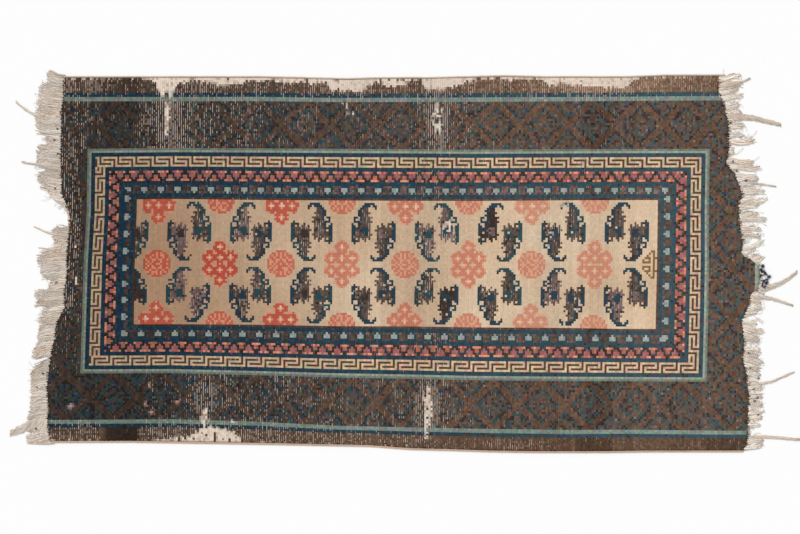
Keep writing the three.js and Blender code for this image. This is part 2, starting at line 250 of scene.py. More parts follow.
BROWN_BATCHES = table("x lightness redness", [
    (-1090, 0.82, 0.00), (-880, 0.70, 0.00), (-760, 0.76, -0.03), (-540, 0.86, -0.02), (-300, 0.92, -0.01),
    (-60, 0.98, 0.00), (180, 1.02, 0.01), (530, 1.06, 0.01), (540, 0.84, 0.04), (612, 0.84, 0.04),
    (622, 1.06, 0.00), (860, 1.02, 0.01), (1080, 1.04, 0.01),
])
GUARD_BATCHES = table("x lower upper", [
    (-1080, 0.92, 0.92), (-905, 0.92, 0.80), (-895, 0.56, 0.74), (-805, 0.56, 0.74), (-795, 0.90, 0.84),
    (-500, 0.94, 0.86), (0, 0.98, 0.95), (400, 0.94, 1.10), (505, 0.96, 1.21), (512, 0.74, 1.22),
    (612, 0.74, 1.28), (622, 0.98, 1.28), (640, 0.98, 1.26), (880, 0.94, 1.14), (888, 0.78, 1.12),
    (960, 0.78, 1.06), (1010, 0.82, 1.06),
])
FADING = table("x share bleached", [
    (-1000, 0.85, 0.00), (-780, 0.87, 0.00), (-600, 0.91, 0.06), (-350, 0.95, 0.18), (0, 0.98, 0.34),
    (400, 1.0, 0.44), (800, 1.02, 0.50),
])

rows = np.arange(ROWS)[:, None] + np.zeros((1, COLUMNS), int)
columns = np.arange(COLUMNS)[None, :] + np.zeros((ROWS, 1), int)
pattern = np.full((ROWS, COLUMNS), CODE["brown"])


def dye(where, name):
    pattern[where] = CODE[name]


def made_of(*names):
    """Where the knots are of one of the named dyes."""
    return np.isin(pattern, [CODE[name] for name in names])


def within(value, low, high):
    return (value >= low) & (value < high)


def dye_ranges(value, ranges, where=True):
    """Dyes the knots whose value lies in a name's range, from its low end up to its high end."""
    for name, low, high in ranges:
        dye(where & within(value, low, high), name)


print(len(DYES), "dyes on the shelf")

# %% [markdown]
# The wide border is a lattice of crossing bands with stepped lozenges between. It could be charted knot by
# knot, but two slanted sets of lines give it in one go: the distance to the nearer of them is 1 on the
# bands and 0 in a lozenge's heart. The ground stays brown all over. Single knots of blue, teal and green
# draw the lozenges' outlines and hearts on it, so sparsely that they only show from a few steps away.

# %% The lozenge borders
LOZENGE_PERIOD = 22.6
FIRST_LOZENGE = 12.0
END_PERIOD = 24.0
BORDER_HEIGHT = 22.0
LOWER_BORDER = (11, 33)
UPPER_BORDER = (142, 164)
LEFT_BORDER_MIDDLE = 8.0
RIGHT_BORDER_MIDDLE = 328.0
END_CROSSING = 86.6


def lattice(along, across, period):
    rising = along / period + across / BORDER_HEIGHT
    falling = along / period - across / BORDER_HEIGHT
    return 2 * np.maximum(abs(rising - np.round(rising)), abs(falling - np.round(falling)))


DOT_MIX = [
    ("slate", 0.00, 0.36), ("navy", 0.36, 0.56), ("moss", 0.56, 0.74), ("teal", 0.74, 0.88),
    ("dark", 0.88, 1.00),
]
STRAY_MIX = [
    ("violet", 0.00, 0.03), ("moss", 0.03, 0.06), ("slate", 0.06, 0.09), ("rust", 0.09, 0.17),
    ("mauve", 0.17, 0.22), ("dark", 0.22, 0.30),
]
DOT_SPREAD = table("x upper lower", [
    (-1080, 0.40, 1.40), (-750, 0.50, 1.30), (-600, 0.80, 1.00), (-300, 0.75, 0.70), (-50, 0.60, 0.65),
    (200, 0.56, 0.68), (600, 0.54, 0.60), (720, 0.44, 0.52), (1080, 0.44, 0.56),
])
LEFT_DOT_SPREAD = 0.40
RIGHT_DOT_SPREAD = 0.60
HEART = 0.22
RUST_RING = (0.24, 0.40)
INSIDE_BANDS = 0.70
OUTLINE_MIDDLE = 0.78
OUTLINE_WIDTH = 0.34
BANDS_FROM = 0.80
WOBBLE = 0.10
RUST_IN_RING = 0.45
RUST_IN_BANDS = 0.58
DARK_OUTLINE_ABOVE = 0.58
DARK_EDGE_ABOVE = 0.50
EVEN_DOTS = 0.74
ODD_DOTS = 0.26
LOOSE_DOTS = 0.14


def lozenges(where, nearness, spread, seed):
    """Dots a lozenge's ring and heart on the brown ground, with the odd knot of another colour."""
    stray = each_knot(seed + 2)
    chance = each_knot(seed)
    dye_ranges(stray, STRAY_MIX, where)
    dye(where & within(nearness, *RUST_RING) & (chance < RUST_IN_RING), "rust")
    dye(where & (nearness > BANDS_FROM) & (chance < RUST_IN_BANDS), "rust")
    wobble = WOBBLE * soft_scatter(seed + 3, 3, 3)
    outline = within(nearness, OUTLINE_MIDDLE - OUTLINE_WIDTH * spread + wobble, BANDS_FROM + wobble / 2)
    dense = where & (outline | (nearness < HEART * spread))
    dye(dense & (stray > DARK_OUTLINE_ABOVE), "dark")
    dye(where & within(nearness, INSIDE_BANDS, BANDS_FROM) & (chance > DARK_EDGE_ABOVE), "dark")
    dots = dense & np.where((rows + columns) % 2 == 0, chance < EVEN_DOTS, chance < ODD_DOTS)
    dots |= where & (nearness < INSIDE_BANDS) & (each_knot(seed + 4) < LOOSE_DOTS)
    dye_ranges(each_knot(seed + 1), DOT_MIX, dots)


side_borders = [("lower", LOWER_BORDER, 100), ("upper", UPPER_BORDER, 110)]
for name, (low, high), seed in side_borders:
    middle = (low + high) / 2
    nearness = lattice(columns + 0.5 - FIRST_LOZENGE, rows + 0.5 - middle, LOZENGE_PERIOD)
    lozenges(within(rows, low, high), nearness, look_up(DOT_SPREAD, name, knot_x), seed)

between_sides = within(rows, *FRAME_ROWS)
along_end = rows + 0.5 - END_CROSSING - END_PERIOD / 2
end_borders = [
    (columns < FRAME_COLUMNS[0], LEFT_BORDER_MIDDLE, LEFT_DOT_SPREAD, 120),
    (columns >= FRAME_COLUMNS[1], RIGHT_BORDER_MIDDLE, RIGHT_DOT_SPREAD, 130),
]
for outside, middle, spread, seed in end_borders:
    nearness = lattice(along_end, columns + 0.5 - middle, END_PERIOD)
    lozenges(between_sides & outside, nearness, spread, seed)

RIGHT_LINES = [("pale_green", 339, 341), ("navy", 341, 343)]
dye_ranges(columns, RIGHT_LINES, between_sides)

print("Border knots that are blue:", int((pattern == CODE["navy"]).sum()))

# %% [markdown]
# Outside the wide border runs a plain brown guard with a blue and a green line, along the long sides only.
# Inside it lies the frame: rings of fixed width that meet in mitred corners. A knot's ring number is its
# distance to the nearest of the frame's four sides, so one number paints all of them.

# %% Guards and rings
GUARD_LINES = [("guard_brown", 0, 7), ("navy", 7, 9), ("guard_green", 9, 11)]
from_long_side = np.minimum(rows, ROWS - 1 - rows)
dye_ranges(from_long_side, GUARD_LINES)

from_sides = np.minimum(rows - FRAME_ROWS[0], FRAME_ROWS[1] - 1 - rows)
from_ends = np.minimum(columns - FRAME_COLUMNS[0], FRAME_COLUMNS[1] - 1 - columns)
ring = np.minimum(from_sides, from_ends)
upright = from_ends < from_sides
step = np.where(upright, rows - FRAME_ROWS[0], columns - FRAME_COLUMNS[0])

RINGS = [("dull_green", 1), ("pale_green", 1), ("navy", 2), ("fret_cream", 5), ("navy", 2), ("dark", 5),
         ("navy", 2), ("brown", 4), ("navy", 2), ("line_brown", 1)]
first = 0
for name, width in RINGS:
    dye(within(ring, first, first + width), name)
    first += width
in_field = ring >= first
dye(in_field, "cream")

BLUE_MIX = [("teal", 0.0, 0.22), ("dark", 0.22, 0.29), ("violet", 0.29, 0.33)]
dye_ranges(each_knot(139), BLUE_MIX, made_of("navy"))

print("The frame's rings take", first, "knots, and the field has", int(in_field.sum()))

# %% [markdown]
# Three of the rings carry a small repeat, each charted with a letter for a knot. The fret is the
# old running key. The coral ring has triangles that stand on its two edges by turns, and the innermost has
# pearls, each with a dark crescent on its outer side.

# %% Fret
FRET = [
    "BCCCCCCCC",
    "BCBBBBBBC",
    "BCCCCCCBC",
    "BBBBBBCBC",
    "CCCCCCCBC",
]
FRET_RING = 4
FRET_START = 3


def charted(chart, row, step):
    """The letter that each knot gets from a chart, which repeats along its ring."""
    letters = np.array([list(line) for line in chart])
    return letters[np.clip(row, 0, len(chart) - 1), step % letters.shape[1]]


in_fret = within(ring, FRET_RING, FRET_RING + len(FRET))
in_side_fret = in_fret & within(from_sides, FRET_RING, FRET_RING + len(FRET))
fret_row = np.where(in_side_fret, from_sides, ring) - FRET_RING
fret_step = np.where(in_side_fret, columns - FRAME_COLUMNS[0], step) + FRET_START
dye(in_fret & (charted(FRET, fret_row, fret_step) == "B"), "fret_brown")
print("Fret knots:", int(in_fret.sum()))

# %% Triangles
TRIANGLES = [
    "CCCCC..",
    ".CCC...",
    ".CCC.II",
    "..C..II",
    "I...III",
]
CORAL_RING = 11
coral_row = ring - CORAL_RING
in_coral = within(coral_row, 0, len(TRIANGLES))
letters = charted(TRIANGLES, coral_row, step)
outer_triangle = in_coral & (letters == "C")
inner_triangle = in_coral & (letters == "I")
triangle = outer_triangle | inner_triangle
triangle_base = outer_triangle & (coral_row == 0) | inner_triangle & (coral_row == len(TRIANGLES) - 1)
dye(triangle, "brick")
coral_mixes = [
    (outer_triangle, [("pink", 0.00, 0.45)]),
    (inner_triangle, [("coral", 0.00, 0.20)]),
    (triangle_base, [("apricot", 0.55, 1.00)]),
    (in_coral & ~triangle, [("navy", 0.00, 0.30), ("line_brown", 0.80, 1.00)]),
]
chance = each_knot(140)
for where, mix in coral_mixes:
    dye_ranges(chance, mix, where)
print("Triangle knots:", int(triangle.sum()))

# %% Pearls
PEARL = [
    "..NTNN..",
    ".NPPPN..",
    ".NPPPN..",
    "..NPT.M.",
]
PEARL_WOOL = {"N": "navy", "T": "teal", "P": "pearl", "M": "mauve"}
PEARL_RING = 18
PEARL_START = -1
LEFT_MAUVE = 0.60
TOP_MAUVE = 0.45
pearl_row = ring - PEARL_RING
in_pearls = within(pearl_row, 0, len(PEARL))
letters = charted(PEARL, pearl_row, step + PEARL_START)
for letter, name in PEARL_WOOL.items():
    dye(in_pearls & (letters == letter), name)
between_pearls = in_pearls & (letters == ".")
left_band = between_pearls & upright & (columns < COLUMNS / 2)
dye(left_band & (pearl_row < 2), "navy")
dye(left_band & (pearl_row >= 2) & (chance < LEFT_MAUVE), "mauve")
top_band = between_pearls & ~upright & (rows > ROWS / 2)
dye(top_band & (chance < TOP_MAUVE), "mauve")
print("Pearl ring knots:", int(in_pearls.sum()))

# %% [markdown]
# The field is strewn in half steps: a line of whole motifs along the middle, and lines of half motifs cut
# off by its two long edges. Roundels and clusters take turns, and four bats fly round each roundel,
# mirrored both ways. They are common motifs of such rugs, and each is charted or drawn by its own rule:
# a chart for the bat and the roundel, and eight small discs for the cluster.

# %% Field motifs
MOTIF_COLUMNS = [10, 40, 69, 98, 128, 158, 188, 218]
MIDDLE_ROW = 87
EDGE_ROWS = (57, 117)
ROUNDEL = [
    "....RRRRR....",
    "..RRLRLRLRR..",
    ".RLRLRLRLRLR.",
    ".RRLRRLRRLRR.",
    "RLRRLLRLLRRLR",
    "RRLRLRRRLRLRR",
    "RLRLRRLRRLRLR",
    "RRLRLRRRLRLRR",
    "RLRRLLRLLRRLR",
    ".RRLRRLRRLRR.",
    ".RLRLRLRLRLR.",
    "..RRLRLRLRR..",
    "....RRRRR....",
]
BAT_START = (2, 4)
BAT = [
    ".......TTTTT.",
    "......TTTT.TT",
    ".....TTBB...D",
    "....DTBBB....",
    "....TTBBBB...",
    "....DTBBB....",
    "..TT.TBBBBB..",
    "..T.WTBBBB...",
    "..TTTBBBBBB..",
    ".T..DTBBBB...",
    ".TT.TBBBBB...",
    ".TTDTBOOOB...",
    ".TTBBOOOOB...",
    ".TTBBBOOOB...",
    ".TDBBBBOOBB..",
    ".TBBBBBBBB...",
    ".TT.B.BB.B...",
    ".TTDB..B.....",
    "..D..........",
]
DISC_CENTRES = [(0, 8), (0, 3), (0, -3), (0, -8), (5, 3), (5, -3), (-5, 3), (-5, -3)]
DISC_RADIUS = 3.2
DISC_RIM = 2.4
DISC_HEART = 1.1
MIXED_UP = 0.10
PALE_IN_STAR = 0.16
PALE_IN_RIM = 0.42
WING_SHARES = [0.62, 0.30, 0.08]
DISC_SHARES = [0.60, 0.20, 0.20]
DARK_IN_BAT = 0.08
KEPT_IN_BAT = 0.98
bat_wool = np.zeros((ROWS, COLUMNS), bool)


def lay(row, column, name):
    """Sets one knot of the field and leaves the frame alone."""
    if 0 <= row < ROWS and 0 <= column < COLUMNS and in_field[row, column]:
        pattern[row, column] = CODE[name]
        bat_wool[row, column] = name in ("teal", "navy", "brown", "dark", "mauve")


def roundel(row, column, rng):
    """A fine maze of darker and lighter knots, with some of them mixed up."""
    half = len(ROUNDEL) // 2
    for down, line in enumerate(ROUNDEL):
        for right, letter in enumerate(line):
            light = (letter == "L") != (rng.random() < MIXED_UP)
            if letter != ".":
                lay(row + down - half, column + right - half, "apricot" if light else "rose")


def cluster(row, column, wool, rng):
    """Eight discs of one wool, each with a small pale star and an uneven rim."""
    for down in range(-12, 13):
        for right in range(-10, 11):
            reach = min(np.hypot(right - x, down - y) for x, y in DISC_CENTRES)
            chance = rng.random()
            pale_rim = reach > DISC_RIM and chance < PALE_IN_RIM
            if reach < DISC_HEART:
                lay(row + down, column + right, "star" if reach == 0 or chance < PALE_IN_STAR else "apricot")
            elif reach < DISC_RADIUS:
                lay(row + down, column + right, "apricot" if pale_rim else wool)


def bat(row, column, side, way, rng):
    """One bat beside a roundel: side is -1 to its left and 1 to its right, way 1 above it and -1 below."""
    line_dye = rng.choice(["teal", "navy"])
    wing_dye = rng.choice(["brown", "mauve", "dark"], p=WING_SHARES)
    disc_dye = rng.choice([line_dye, "dark", "mauve"], p=DISC_SHARES)
    names = {"T": line_dye, "B": wing_dye, "O": disc_dye, "D": "dark", "W": "pearl"}
    for out, line in enumerate(BAT):
        for over, letter in enumerate(line):
            change = rng.random()
            if letter == "." or change > KEPT_IN_BAT:
                continue
            name = "dark" if change < DARK_IN_BAT else names[letter]
            lay(row + way * (BAT_START[0] + out), column + side * (BAT_START[1] + over), name)


CLUSTER_WOOL = ["rose", "red", "red", "coral", "rose", "rose", "coral", "rose"]
flock = np.random.default_rng(150)
FIRST_FIELD_COLUMN = FIELD_COLUMNS[0]
HALF_ROUNDEL_COLUMN = 248
for number, offset in enumerate(MOTIF_COLUMNS + [HALF_ROUNDEL_COLUMN]):
    column = FIRST_FIELD_COLUMN + offset
    whole_roundel = number % 2 == 0
    if whole_roundel:
        for side in (-1, 1):
            for way in (-1, 1):
                bat(MIDDLE_ROW, column, side, way, flock)
    else:
        for edge_row, way in zip(EDGE_ROWS, (1, -1)):
            for side in (-1, 1):
                bat(edge_row, column, side, way, flock)
    if number == len(MOTIF_COLUMNS):
        continue
    if whole_roundel:
        roundel(MIDDLE_ROW, column, flock)
    else:
        cluster(MIDDLE_ROW, column, CLUSTER_WOOL[number], flock)
    for edge_row in EDGE_ROWS:
        if whole_roundel:
            cluster(edge_row, column, CLUSTER_WOOL[number], flock)
        else:
            roundel(edge_row, column, flock)

print("Knots in the bats:", int(bat_wool.sum()))

# %% [markdown]
# At the right edge of the field the last roundel is only drawn in outline: two fan-shaped lobes, mirrored,
# tied to the frame by a knot each.

# %% The outlined half roundel
LOBE = [
    "....BB.",
    "...B.B.",
    "..B..B.",
    ".BBB.BB",
    "B..B.B.",
    "BBBB.B.",
    ".....B.",
]
for down, line in enumerate(LOBE):
    for right, letter in enumerate(line):
        if letter == "B":
            from_middle = len(LOBE) - 1 - down
            column = FIELD_COLUMNS[1] - len(line) + right
            lay(MIDDLE_ROW + from_middle, column, "outline")
            lay(MIDDLE_ROW - from_middle, column, "outline")

print("Field knots:", int(in_field.sum()))

# %% [markdown]
# Wear. A rug loses its pile where it was walked on and folded, first in the brown wool, because the iron
# in its dye eats the fibres. What shows then is the cotton underneath, first as pale weft lines between
# the rows of knots and then as bare cloth. It could be a texture laid over the finished pattern. Here each
# knot has its own state instead, because the bare cloth really lies lower: how strongly the weft shows
# beside it, how high it stands, and whether it is gone.

# %% Where the rug is worn
WORN_THROUGH = 0.6
WORN_RIM = 1.15
WORN = [
    (-720, 528, 34, 30, 1.00), (-718, 440, 12, 80, 0.72), (-550, 545, 50, 18, 1.00),
    (-180, 535, 60, 24, 0.90), (-40, 540, 50, 16, 0.90), (95, 430, 22, 66, 0.80), (130, 538, 50, 16, 1.00),
    (560, 538, 60, 14, 1.00), (-603, -464, 20, 34, 0.85), (63, -455, 17, 104, 0.86), (-993, 50, 8, 12, 0.80),
    (-987, -55, 9, 18, 0.80), (-165, 450, 20, 9, 0.60), (-185, 470, 12, 12, 0.75), (-525, -478, 12, 8, 0.80),
    (130, 108, 26, 24, 0.92), (477, 172, 14, 18, 0.92), (432, 84, 14, 16, 0.90),
]
THINNED = [
    (330, -545, 120, 20, 1.0), (560, 530, 150, 24, 1.0), (118, 80, 48, 40, 1.0), (455, 140, 34, 80, 1.0),
    (65, -450, 44, 100, 1.0), (95, 415, 48, 100, 1.0), (-705, 420, 60, 90, 1.0), (-600, -410, 40, 60, 1.0),
]
BAND_ROWS = {
    "lower_guard": (0, 11), "lower_border": (11, 33), "frame": (33, 142), "upper_border": (142, 164),
    "upper_guard": (164, ROWS),
}
WEAR = table("x lower_guard lower_border frame upper_border upper_guard", [
    (-1080, 0.60, 0.10, 0.62, 0.46, 0.60), (-985, 0.60, 0.08, 0.55, 0.44, 0.60),
    (-960, 0.60, 0.05, 0.05, 0.42, 0.60),
    (-920, 0.60, 0.05, 0.05, 0.26, 0.60), (-900, 0.05, 0.05, 0.05, 0.16, 0.50),
    (-810, 0.05, 0.08, 0.05, 0.14, 0.30), (-790, 0.60, 0.16, 0.05, 0.44, 0.40),
    (-690, 0.60, 0.30, 0.10, 0.74, 0.66), (-600, 0.60, 0.44, 0.20, 0.44, 0.60),
    (-500, 0.62, 0.40, 0.25, 0.42, 0.55), (-380, 0.60, 0.36, 0.22, 0.30, 0.45),
    (-240, 0.60, 0.34, 0.12, 0.20, 0.60), (-60, 0.50, 0.26, 0.10, 0.22, 0.60),
    (20, 0.35, 0.30, 0.22, 0.24, 0.50), (90, 0.30, 0.56, 0.34, 0.66, 0.66),
    (180, 0.20, 0.22, 0.15, 0.34, 0.60), (300, 0.15, 0.14, 0.15, 0.14, 0.40),
    (500, 0.15, 0.10, 0.15, 0.10, 0.66), (640, 0.15, 0.10, 0.08, 0.18, 0.66),
    (720, 0.15, 0.10, 0.06, 0.10, 0.50), (850, 0.15, 0.10, 0.05, 0.06, 0.34),
    (1060, 0.15, 0.10, 0.05, 0.08, 0.34),
])
SPARED_CORNER = (-230, -90)
SPARED_SHARE = 0.6
EDGE_FADE = (-14, 12)
BARE_ABOVE = 0.72
BAT_WEAR = 0.24
WEFT_FADE = (0.42, 1.15)
MOST_WEFT = 0.85
LEAST_PILE = 0.25
BARE_EDGE = table("x upper lower", [
    (-1080, 3, 3), (-990, 3, 4), (-920, 3, 4), (-905, 3, -9), (-810, 3, -9), (-795, 3, 2), (-755, 12, 4),
    (-732, 60, 9), (-702, 60, 13), (-685, 24, 16), (-648, 10, 20), (-625, 12, 38), (-598, 14, 50),
    (-558, 20, 46), (-520, 22, 34), (-496, 20, 20), (-486, 14, 4), (-460, 8, 2), (-330, 14, 0),
    (-240, 14, 0), (-225, 36, 0), (-130, 36, 0), (-112, 14, 0), (-60, 10, 1), (-45, 6, 1), (45, 6, 1),
    (60, 32, 1), (130, 30, 1), (170, 18, -2), (225, 8, -4), (410, 8, -5), (430, 26, -5), (580, 20, -5),
    (600, 34, -5), (650, 32, -5), (690, 9, -5), (760, 3, -5), (900, 2, -5), (1060, 2, -3),
])
HARDINESS = {
    "brown": -0.10, "guard_brown": -0.10, "dark": -0.08, "rust": -0.02, "mauve": -0.06, "line_brown": -0.05,
    "navy": 0.22, "teal": 0.22, "pale_green": 0.36, "guard_green": 0.36, "dull_green": 0.10, "pearl": 0.30,
    "cream": 0.40, "outline": 0.30, "fret_cream": 0.30, "coral": 0.30, "red": 0.30, "rose": 0.30,
    "apricot": 0.30, "star": 0.30, "brick": 0.25, "pink": 0.25,
}


def worn_places(places):
    """How far each knot is worn by ovals of wear, which have a depth of 1 at most and fade at their rims."""
    worn = np.zeros((ROWS, COLUMNS))
    for x, y, half_x, half_y, depth in places:
        reach = np.hypot((knot_x - x) / half_x, (knot_y - y) / half_y)
        worn = np.maximum(worn, depth * (1 - ramp(reach, WORN_THROUGH, WORN_RIM)))
    return worn


wear = np.zeros((ROWS, COLUMNS))
for band, (low, high) in BAND_ROWS.items():
    wear[low:high] = look_up(WEAR, band, knot_x[low:high])
spared = (between_sides & (columns < FRAME_COLUMNS[0])) * (1 - ramp(knot_y, *SPARED_CORNER))
wear = wear * (1 - SPARED_SHARE * spared)
hardiness = np.array([HARDINESS.get(name, 0.0) for name in DYE_NAMES])[pattern]
streak = soft_scatter(200, 5, 1)
cloud = soft_scatter(201, 4, 4)
own = each_knot(203) - 0.5
worn = worn_places(WORN)
thinned = np.maximum(worn, worn_places(THINNED))

upper_bare = look_up(BARE_EDGE, "upper", knot_x) - (high_edge(knot_x) - knot_y)
lower_bare = look_up(BARE_EDGE, "lower", knot_x) - (knot_y - low_edge(knot_x))
edge_worn = ramp(np.maximum(upper_bare, lower_bare), *EDGE_FADE)
bald = 1.0 * np.maximum(worn, edge_worn) + 0.15 * wear + 0.16 * cloud + 0.40 * streak + 0.16 * own
bare = bald - 0.4 * hardiness > BARE_ABOVE

bat_wear = BAT_WEAR * (bat_wool & made_of("brown", "mauve"))
broken = (0.40 * streak + 1.30 * own) * (0.5 + 0.7 * (wear + bat_wear))
shows = 1.05 * (wear + bat_wear) + 0.45 * thinned + 0.30 * edge_worn + 0.12 * cloud + broken
weft_shows = MOST_WEFT * ramp(shows - 0.8 * hardiness, *WEFT_FADE)
left_of_pile = 0.80 + 0.4 * hardiness - 0.45 * wear - 0.3 * thinned + 0.08 * cloud
left_of_pile = np.clip(left_of_pile, LEAST_PILE, 1.0)
print("Bare knots:", int(bare.sum()), " weft showing on average:", float(weft_shows.mean()))

# %% [markdown]
# From names to colours. Each knot takes its dye's colour, a little lighter or darker than its neighbours.
# Rows of knots were tied from one ball of wool until it ran out, so the brown also changes in narrow bands
# across the rug. A bare place shows the cotton, with some colour left in it from the roots of the knots.

# %% The colour of each knot


def to_linear(colour):
    """From the 0 to 255 of a colour chart to the light values that Blender works in."""
    share = np.asarray(colour, float) / 255
    return np.where(share <= 0.04045, share / 12.92, ((share + 0.055) / 1.055) ** 2.4)


chart = np.array([DYES[name] for name in DYE_NAMES], float)
colour = chart[pattern]
tone = each_knot(210) - 0.5
ball = np.repeat(np.random.default_rng(211).uniform(-1, 1, (1, COLUMNS)), ROWS, axis=0)
ball = 0.6 * ball + 0.4 * soft_scatter(212, 60, 3)
long_bands = soft_scatter(213, 90, 14)

browns = made_of("brown", "dark", "rust", "mauve", "line_brown", "guard_brown")
lightness = look_up(BROWN_BATCHES, "lightness", knot_x)
upper_guard = look_up(GUARD_BATCHES, "upper", knot_x)
lower_guard = look_up(GUARD_BATCHES, "lower", knot_x)
guard_shade = np.where(rows > ROWS / 2, upper_guard, lower_guard)
lightness = np.where(made_of("guard_brown"), guard_shade, lightness)
REDDENED = np.array([1.0, 0.0, -1.2])
redness = look_up(BROWN_BATCHES, "redness", knot_x)[..., None] * REDDENED
batch = (browns & ~bat_wool)[..., None]
colour = np.where(batch, colour * lightness[..., None] * (1 + redness), colour)

unevenness = np.where(browns, 0.26, np.where(in_field, 0.07, 0.16))
bands = np.where(browns, 0.11, np.where(in_field, 0.035, 0.05))
colour = colour * (1 + unevenness * tone + bands * ball + 0.04 * long_bands)[..., None]
tweed = np.stack([each_knot(217), each_knot(218), each_knot(219)], axis=-1) - 0.5
colour = colour * (1 + np.where(in_field, 0.03, 0.16)[..., None] * tweed)

TAN = np.array([-0.12, -0.19, -0.23])
tanned = 1 - ramp(knot_x, -950, 150) + 0.3 * soft_scatter(214, 25, 30)
colour = np.where(made_of("cream")[..., None], colour * (1 + TAN * tanned[..., None]), colour)

PALE_BLUE = np.array([96.0, 110.0, 108.0])
age = 0.42 * ramp(knot_x, -900, 1000)
age = np.where(bat_wool, 0.10 + 0.4 * age, age)[..., None]
blues = made_of("navy", "teal", "slate", "moss")[..., None]
colour = np.where(blues, colour + age * (PALE_BLUE - colour), colour)
bleached = look_up(FADING, "bleached", knot_x)[..., None]
reds = (in_field & made_of("red", "coral", "rose", "apricot"))[..., None]
colour = np.where(reds, colour + bleached * (chart[CODE["cream"]] - colour), colour)
colour = colour * look_up(FADING, "share", knot_x)[..., None]

near_wool = 1 - ramp(bald, 0.80, 1.20)
rooted = np.clip(near_wool * (0.25 + 0.40 * streak + 0.9 * (each_knot(215) - 0.5)), 0, 0.6)[..., None]
cotton = chart[CODE["bare"]] * (1 + 0.07 * (each_knot(216) - 0.5) + 0.03 * long_bands)[..., None]
colour = np.where(bare[..., None], cotton * (1 - rooted) + colour * rooted, colour)

PINK_SPOTS = [(-1006, -431, 12), (-771, -368, 9), (-780, -425, 8), (-765, -450, 8), (-687, -417, 9)]
SPOT_PINK = np.array([196.0, 150.0, 144.0])
for x, y, reach in PINK_SPOTS:
    near = np.clip(1.3 - np.hypot(knot_x - x, knot_y - y) / reach, 0, 1) * (each_knot(209) > 0.5)
    colour = colour + 0.8 * near[..., None] * (SPOT_PINK - colour)
knot_colour = to_linear(np.clip(colour, 0, 255))
print("Mean light value of the rug:", knot_colour.reshape(-1, 3).mean(axis=0))

# %% [markdown]
# The pile as a mesh. A rug could be a flat sheet with a picture on it, but then a worn place has no depth.
# Here one face is one knot. Where knots are gone the cloth drops to the foundation, with a short wall round
# what still stands, so single tufts in a bald place are really there. The corners beyond the ragged ends
# fold back onto the outline, which keeps the grid true and the outline exact.
#
# The faces are gathered as rows of four corners in arrays, which is far quicker than one at a time. A
# corner that repeats in a row is dropped when the mesh is made, which turns that face into a triangle.

# %% Meshes from arrays


def mesh_from(name, points, quads, values=None, places=None, polygons=()):
    """A smooth mesh. values are colours or states by name, with one row for each face or each corner."""
    repeats = np.zeros(quads.shape, bool)
    for corner in range(1, 4):
        for before in range(corner):
            repeats[:, corner] |= quads[:, corner] == quads[:, before]
    kept = ~repeats
    counts = kept.sum(axis=1)
    loops = quads[kept]
    if len(polygons):
        counts = np.concatenate([counts, [len(polygon) for polygon in polygons]])
        loops = np.concatenate([loops, *polygons])
    mesh = bpy.data.meshes.new(name)
    mesh.vertices.add(len(points))
    mesh.vertices.foreach_set("co", (points * MM).astype(np.float32).ravel())
    mesh.loops.add(len(loops))
    mesh.loops.foreach_set("vertex_index", loops.astype(np.int32))
    mesh.polygons.add(len(counts))
    mesh.polygons.foreach_set("loop_start", (np.cumsum(counts) - counts).astype(np.int32))
    mesh.update(calc_edges=True)
    mesh.polygons.foreach_set("use_smooth", np.ones(len(counts), bool))
    extra = len(loops) - int(kept.sum())
    for attribute, value in (values or {}).items():
        corners = np.repeat(value[:, None, :], 4, axis=1) if value.ndim == 2 else value
        corners = corners[kept]
        corners = np.concatenate([corners, np.repeat(corners[-1:], extra, axis=0)])
        colours = np.ones((len(corners), 4), np.float32)
        colours[:, :3] = corners
        layer = mesh.color_attributes.new(name=attribute, type="FLOAT_COLOR", domain="CORNER")
        layer.data.foreach_set("color", colours.ravel())
    if places is not None:
        corners = np.concatenate([places[kept], np.zeros((extra, 2))])
        layer = mesh.uv_layers.new(name="thread_place")
        layer.data.foreach_set("uv", corners.astype(np.float32).ravel())
    return mesh


def add_piece(name, mesh):
    piece = bpy.data.objects.new(name, mesh)
    bpy.context.scene.collection.objects.link(piece)
    print(name, "has", sum(len(face.vertices) - 2 for face in mesh.polygons), "triangles")
    return piece


# %% The outline on the grid
RAGGED = 4.5


def outline_columns():
    """For each line between rows, the first and last corner, which are moved onto the ragged outline."""
    rng = np.random.default_rng(220)
    rag = RAGGED * rng.uniform(-1, 1, (2, ROWS + 1))
    first_corner = np.empty(ROWS + 1, int)
    last_corner = np.empty(ROWS + 1, int)
    for row in range(ROWS + 1):
        left = left_end(corner_y[row, 0]) + max(0.0, rag[0, row])
        right = right_end(corner_y[row, -1]) - max(0.0, rag[1, row])
        inside = np.flatnonzero((corner_x[row] > left + KNOT / 3) & (corner_x[row] < right - KNOT / 3))
        first_corner[row] = inside[0] - 1
        last_corner[row] = inside[-1] + 1
        corner_x[row, inside[0] - 1] = left
        corner_x[row, inside[-1] + 1] = right
    return first_corner, last_corner


first_corner, last_corner = outline_columns()
corner_id = np.arange((ROWS + 1) * (COLUMNS + 1)).reshape(ROWS + 1, COLUMNS + 1)
for row in range(ROWS + 1):
    corner_id[row, :first_corner[row]] = corner_id[row, first_corner[row]]
    corner_id[row, last_corner[row]:] = corner_id[row, last_corner[row]]
knot_corners = np.stack([
    corner_id[:-1, :-1], corner_id[:-1, 1:], corner_id[1:, 1:], corner_id[1:, :-1],
], axis=-1)
shown = (knot_corners[..., 0] != knot_corners[..., 1]) | (knot_corners[..., 2] != knot_corners[..., 3])
print("Knots inside the outline:", int(shown.sum()))

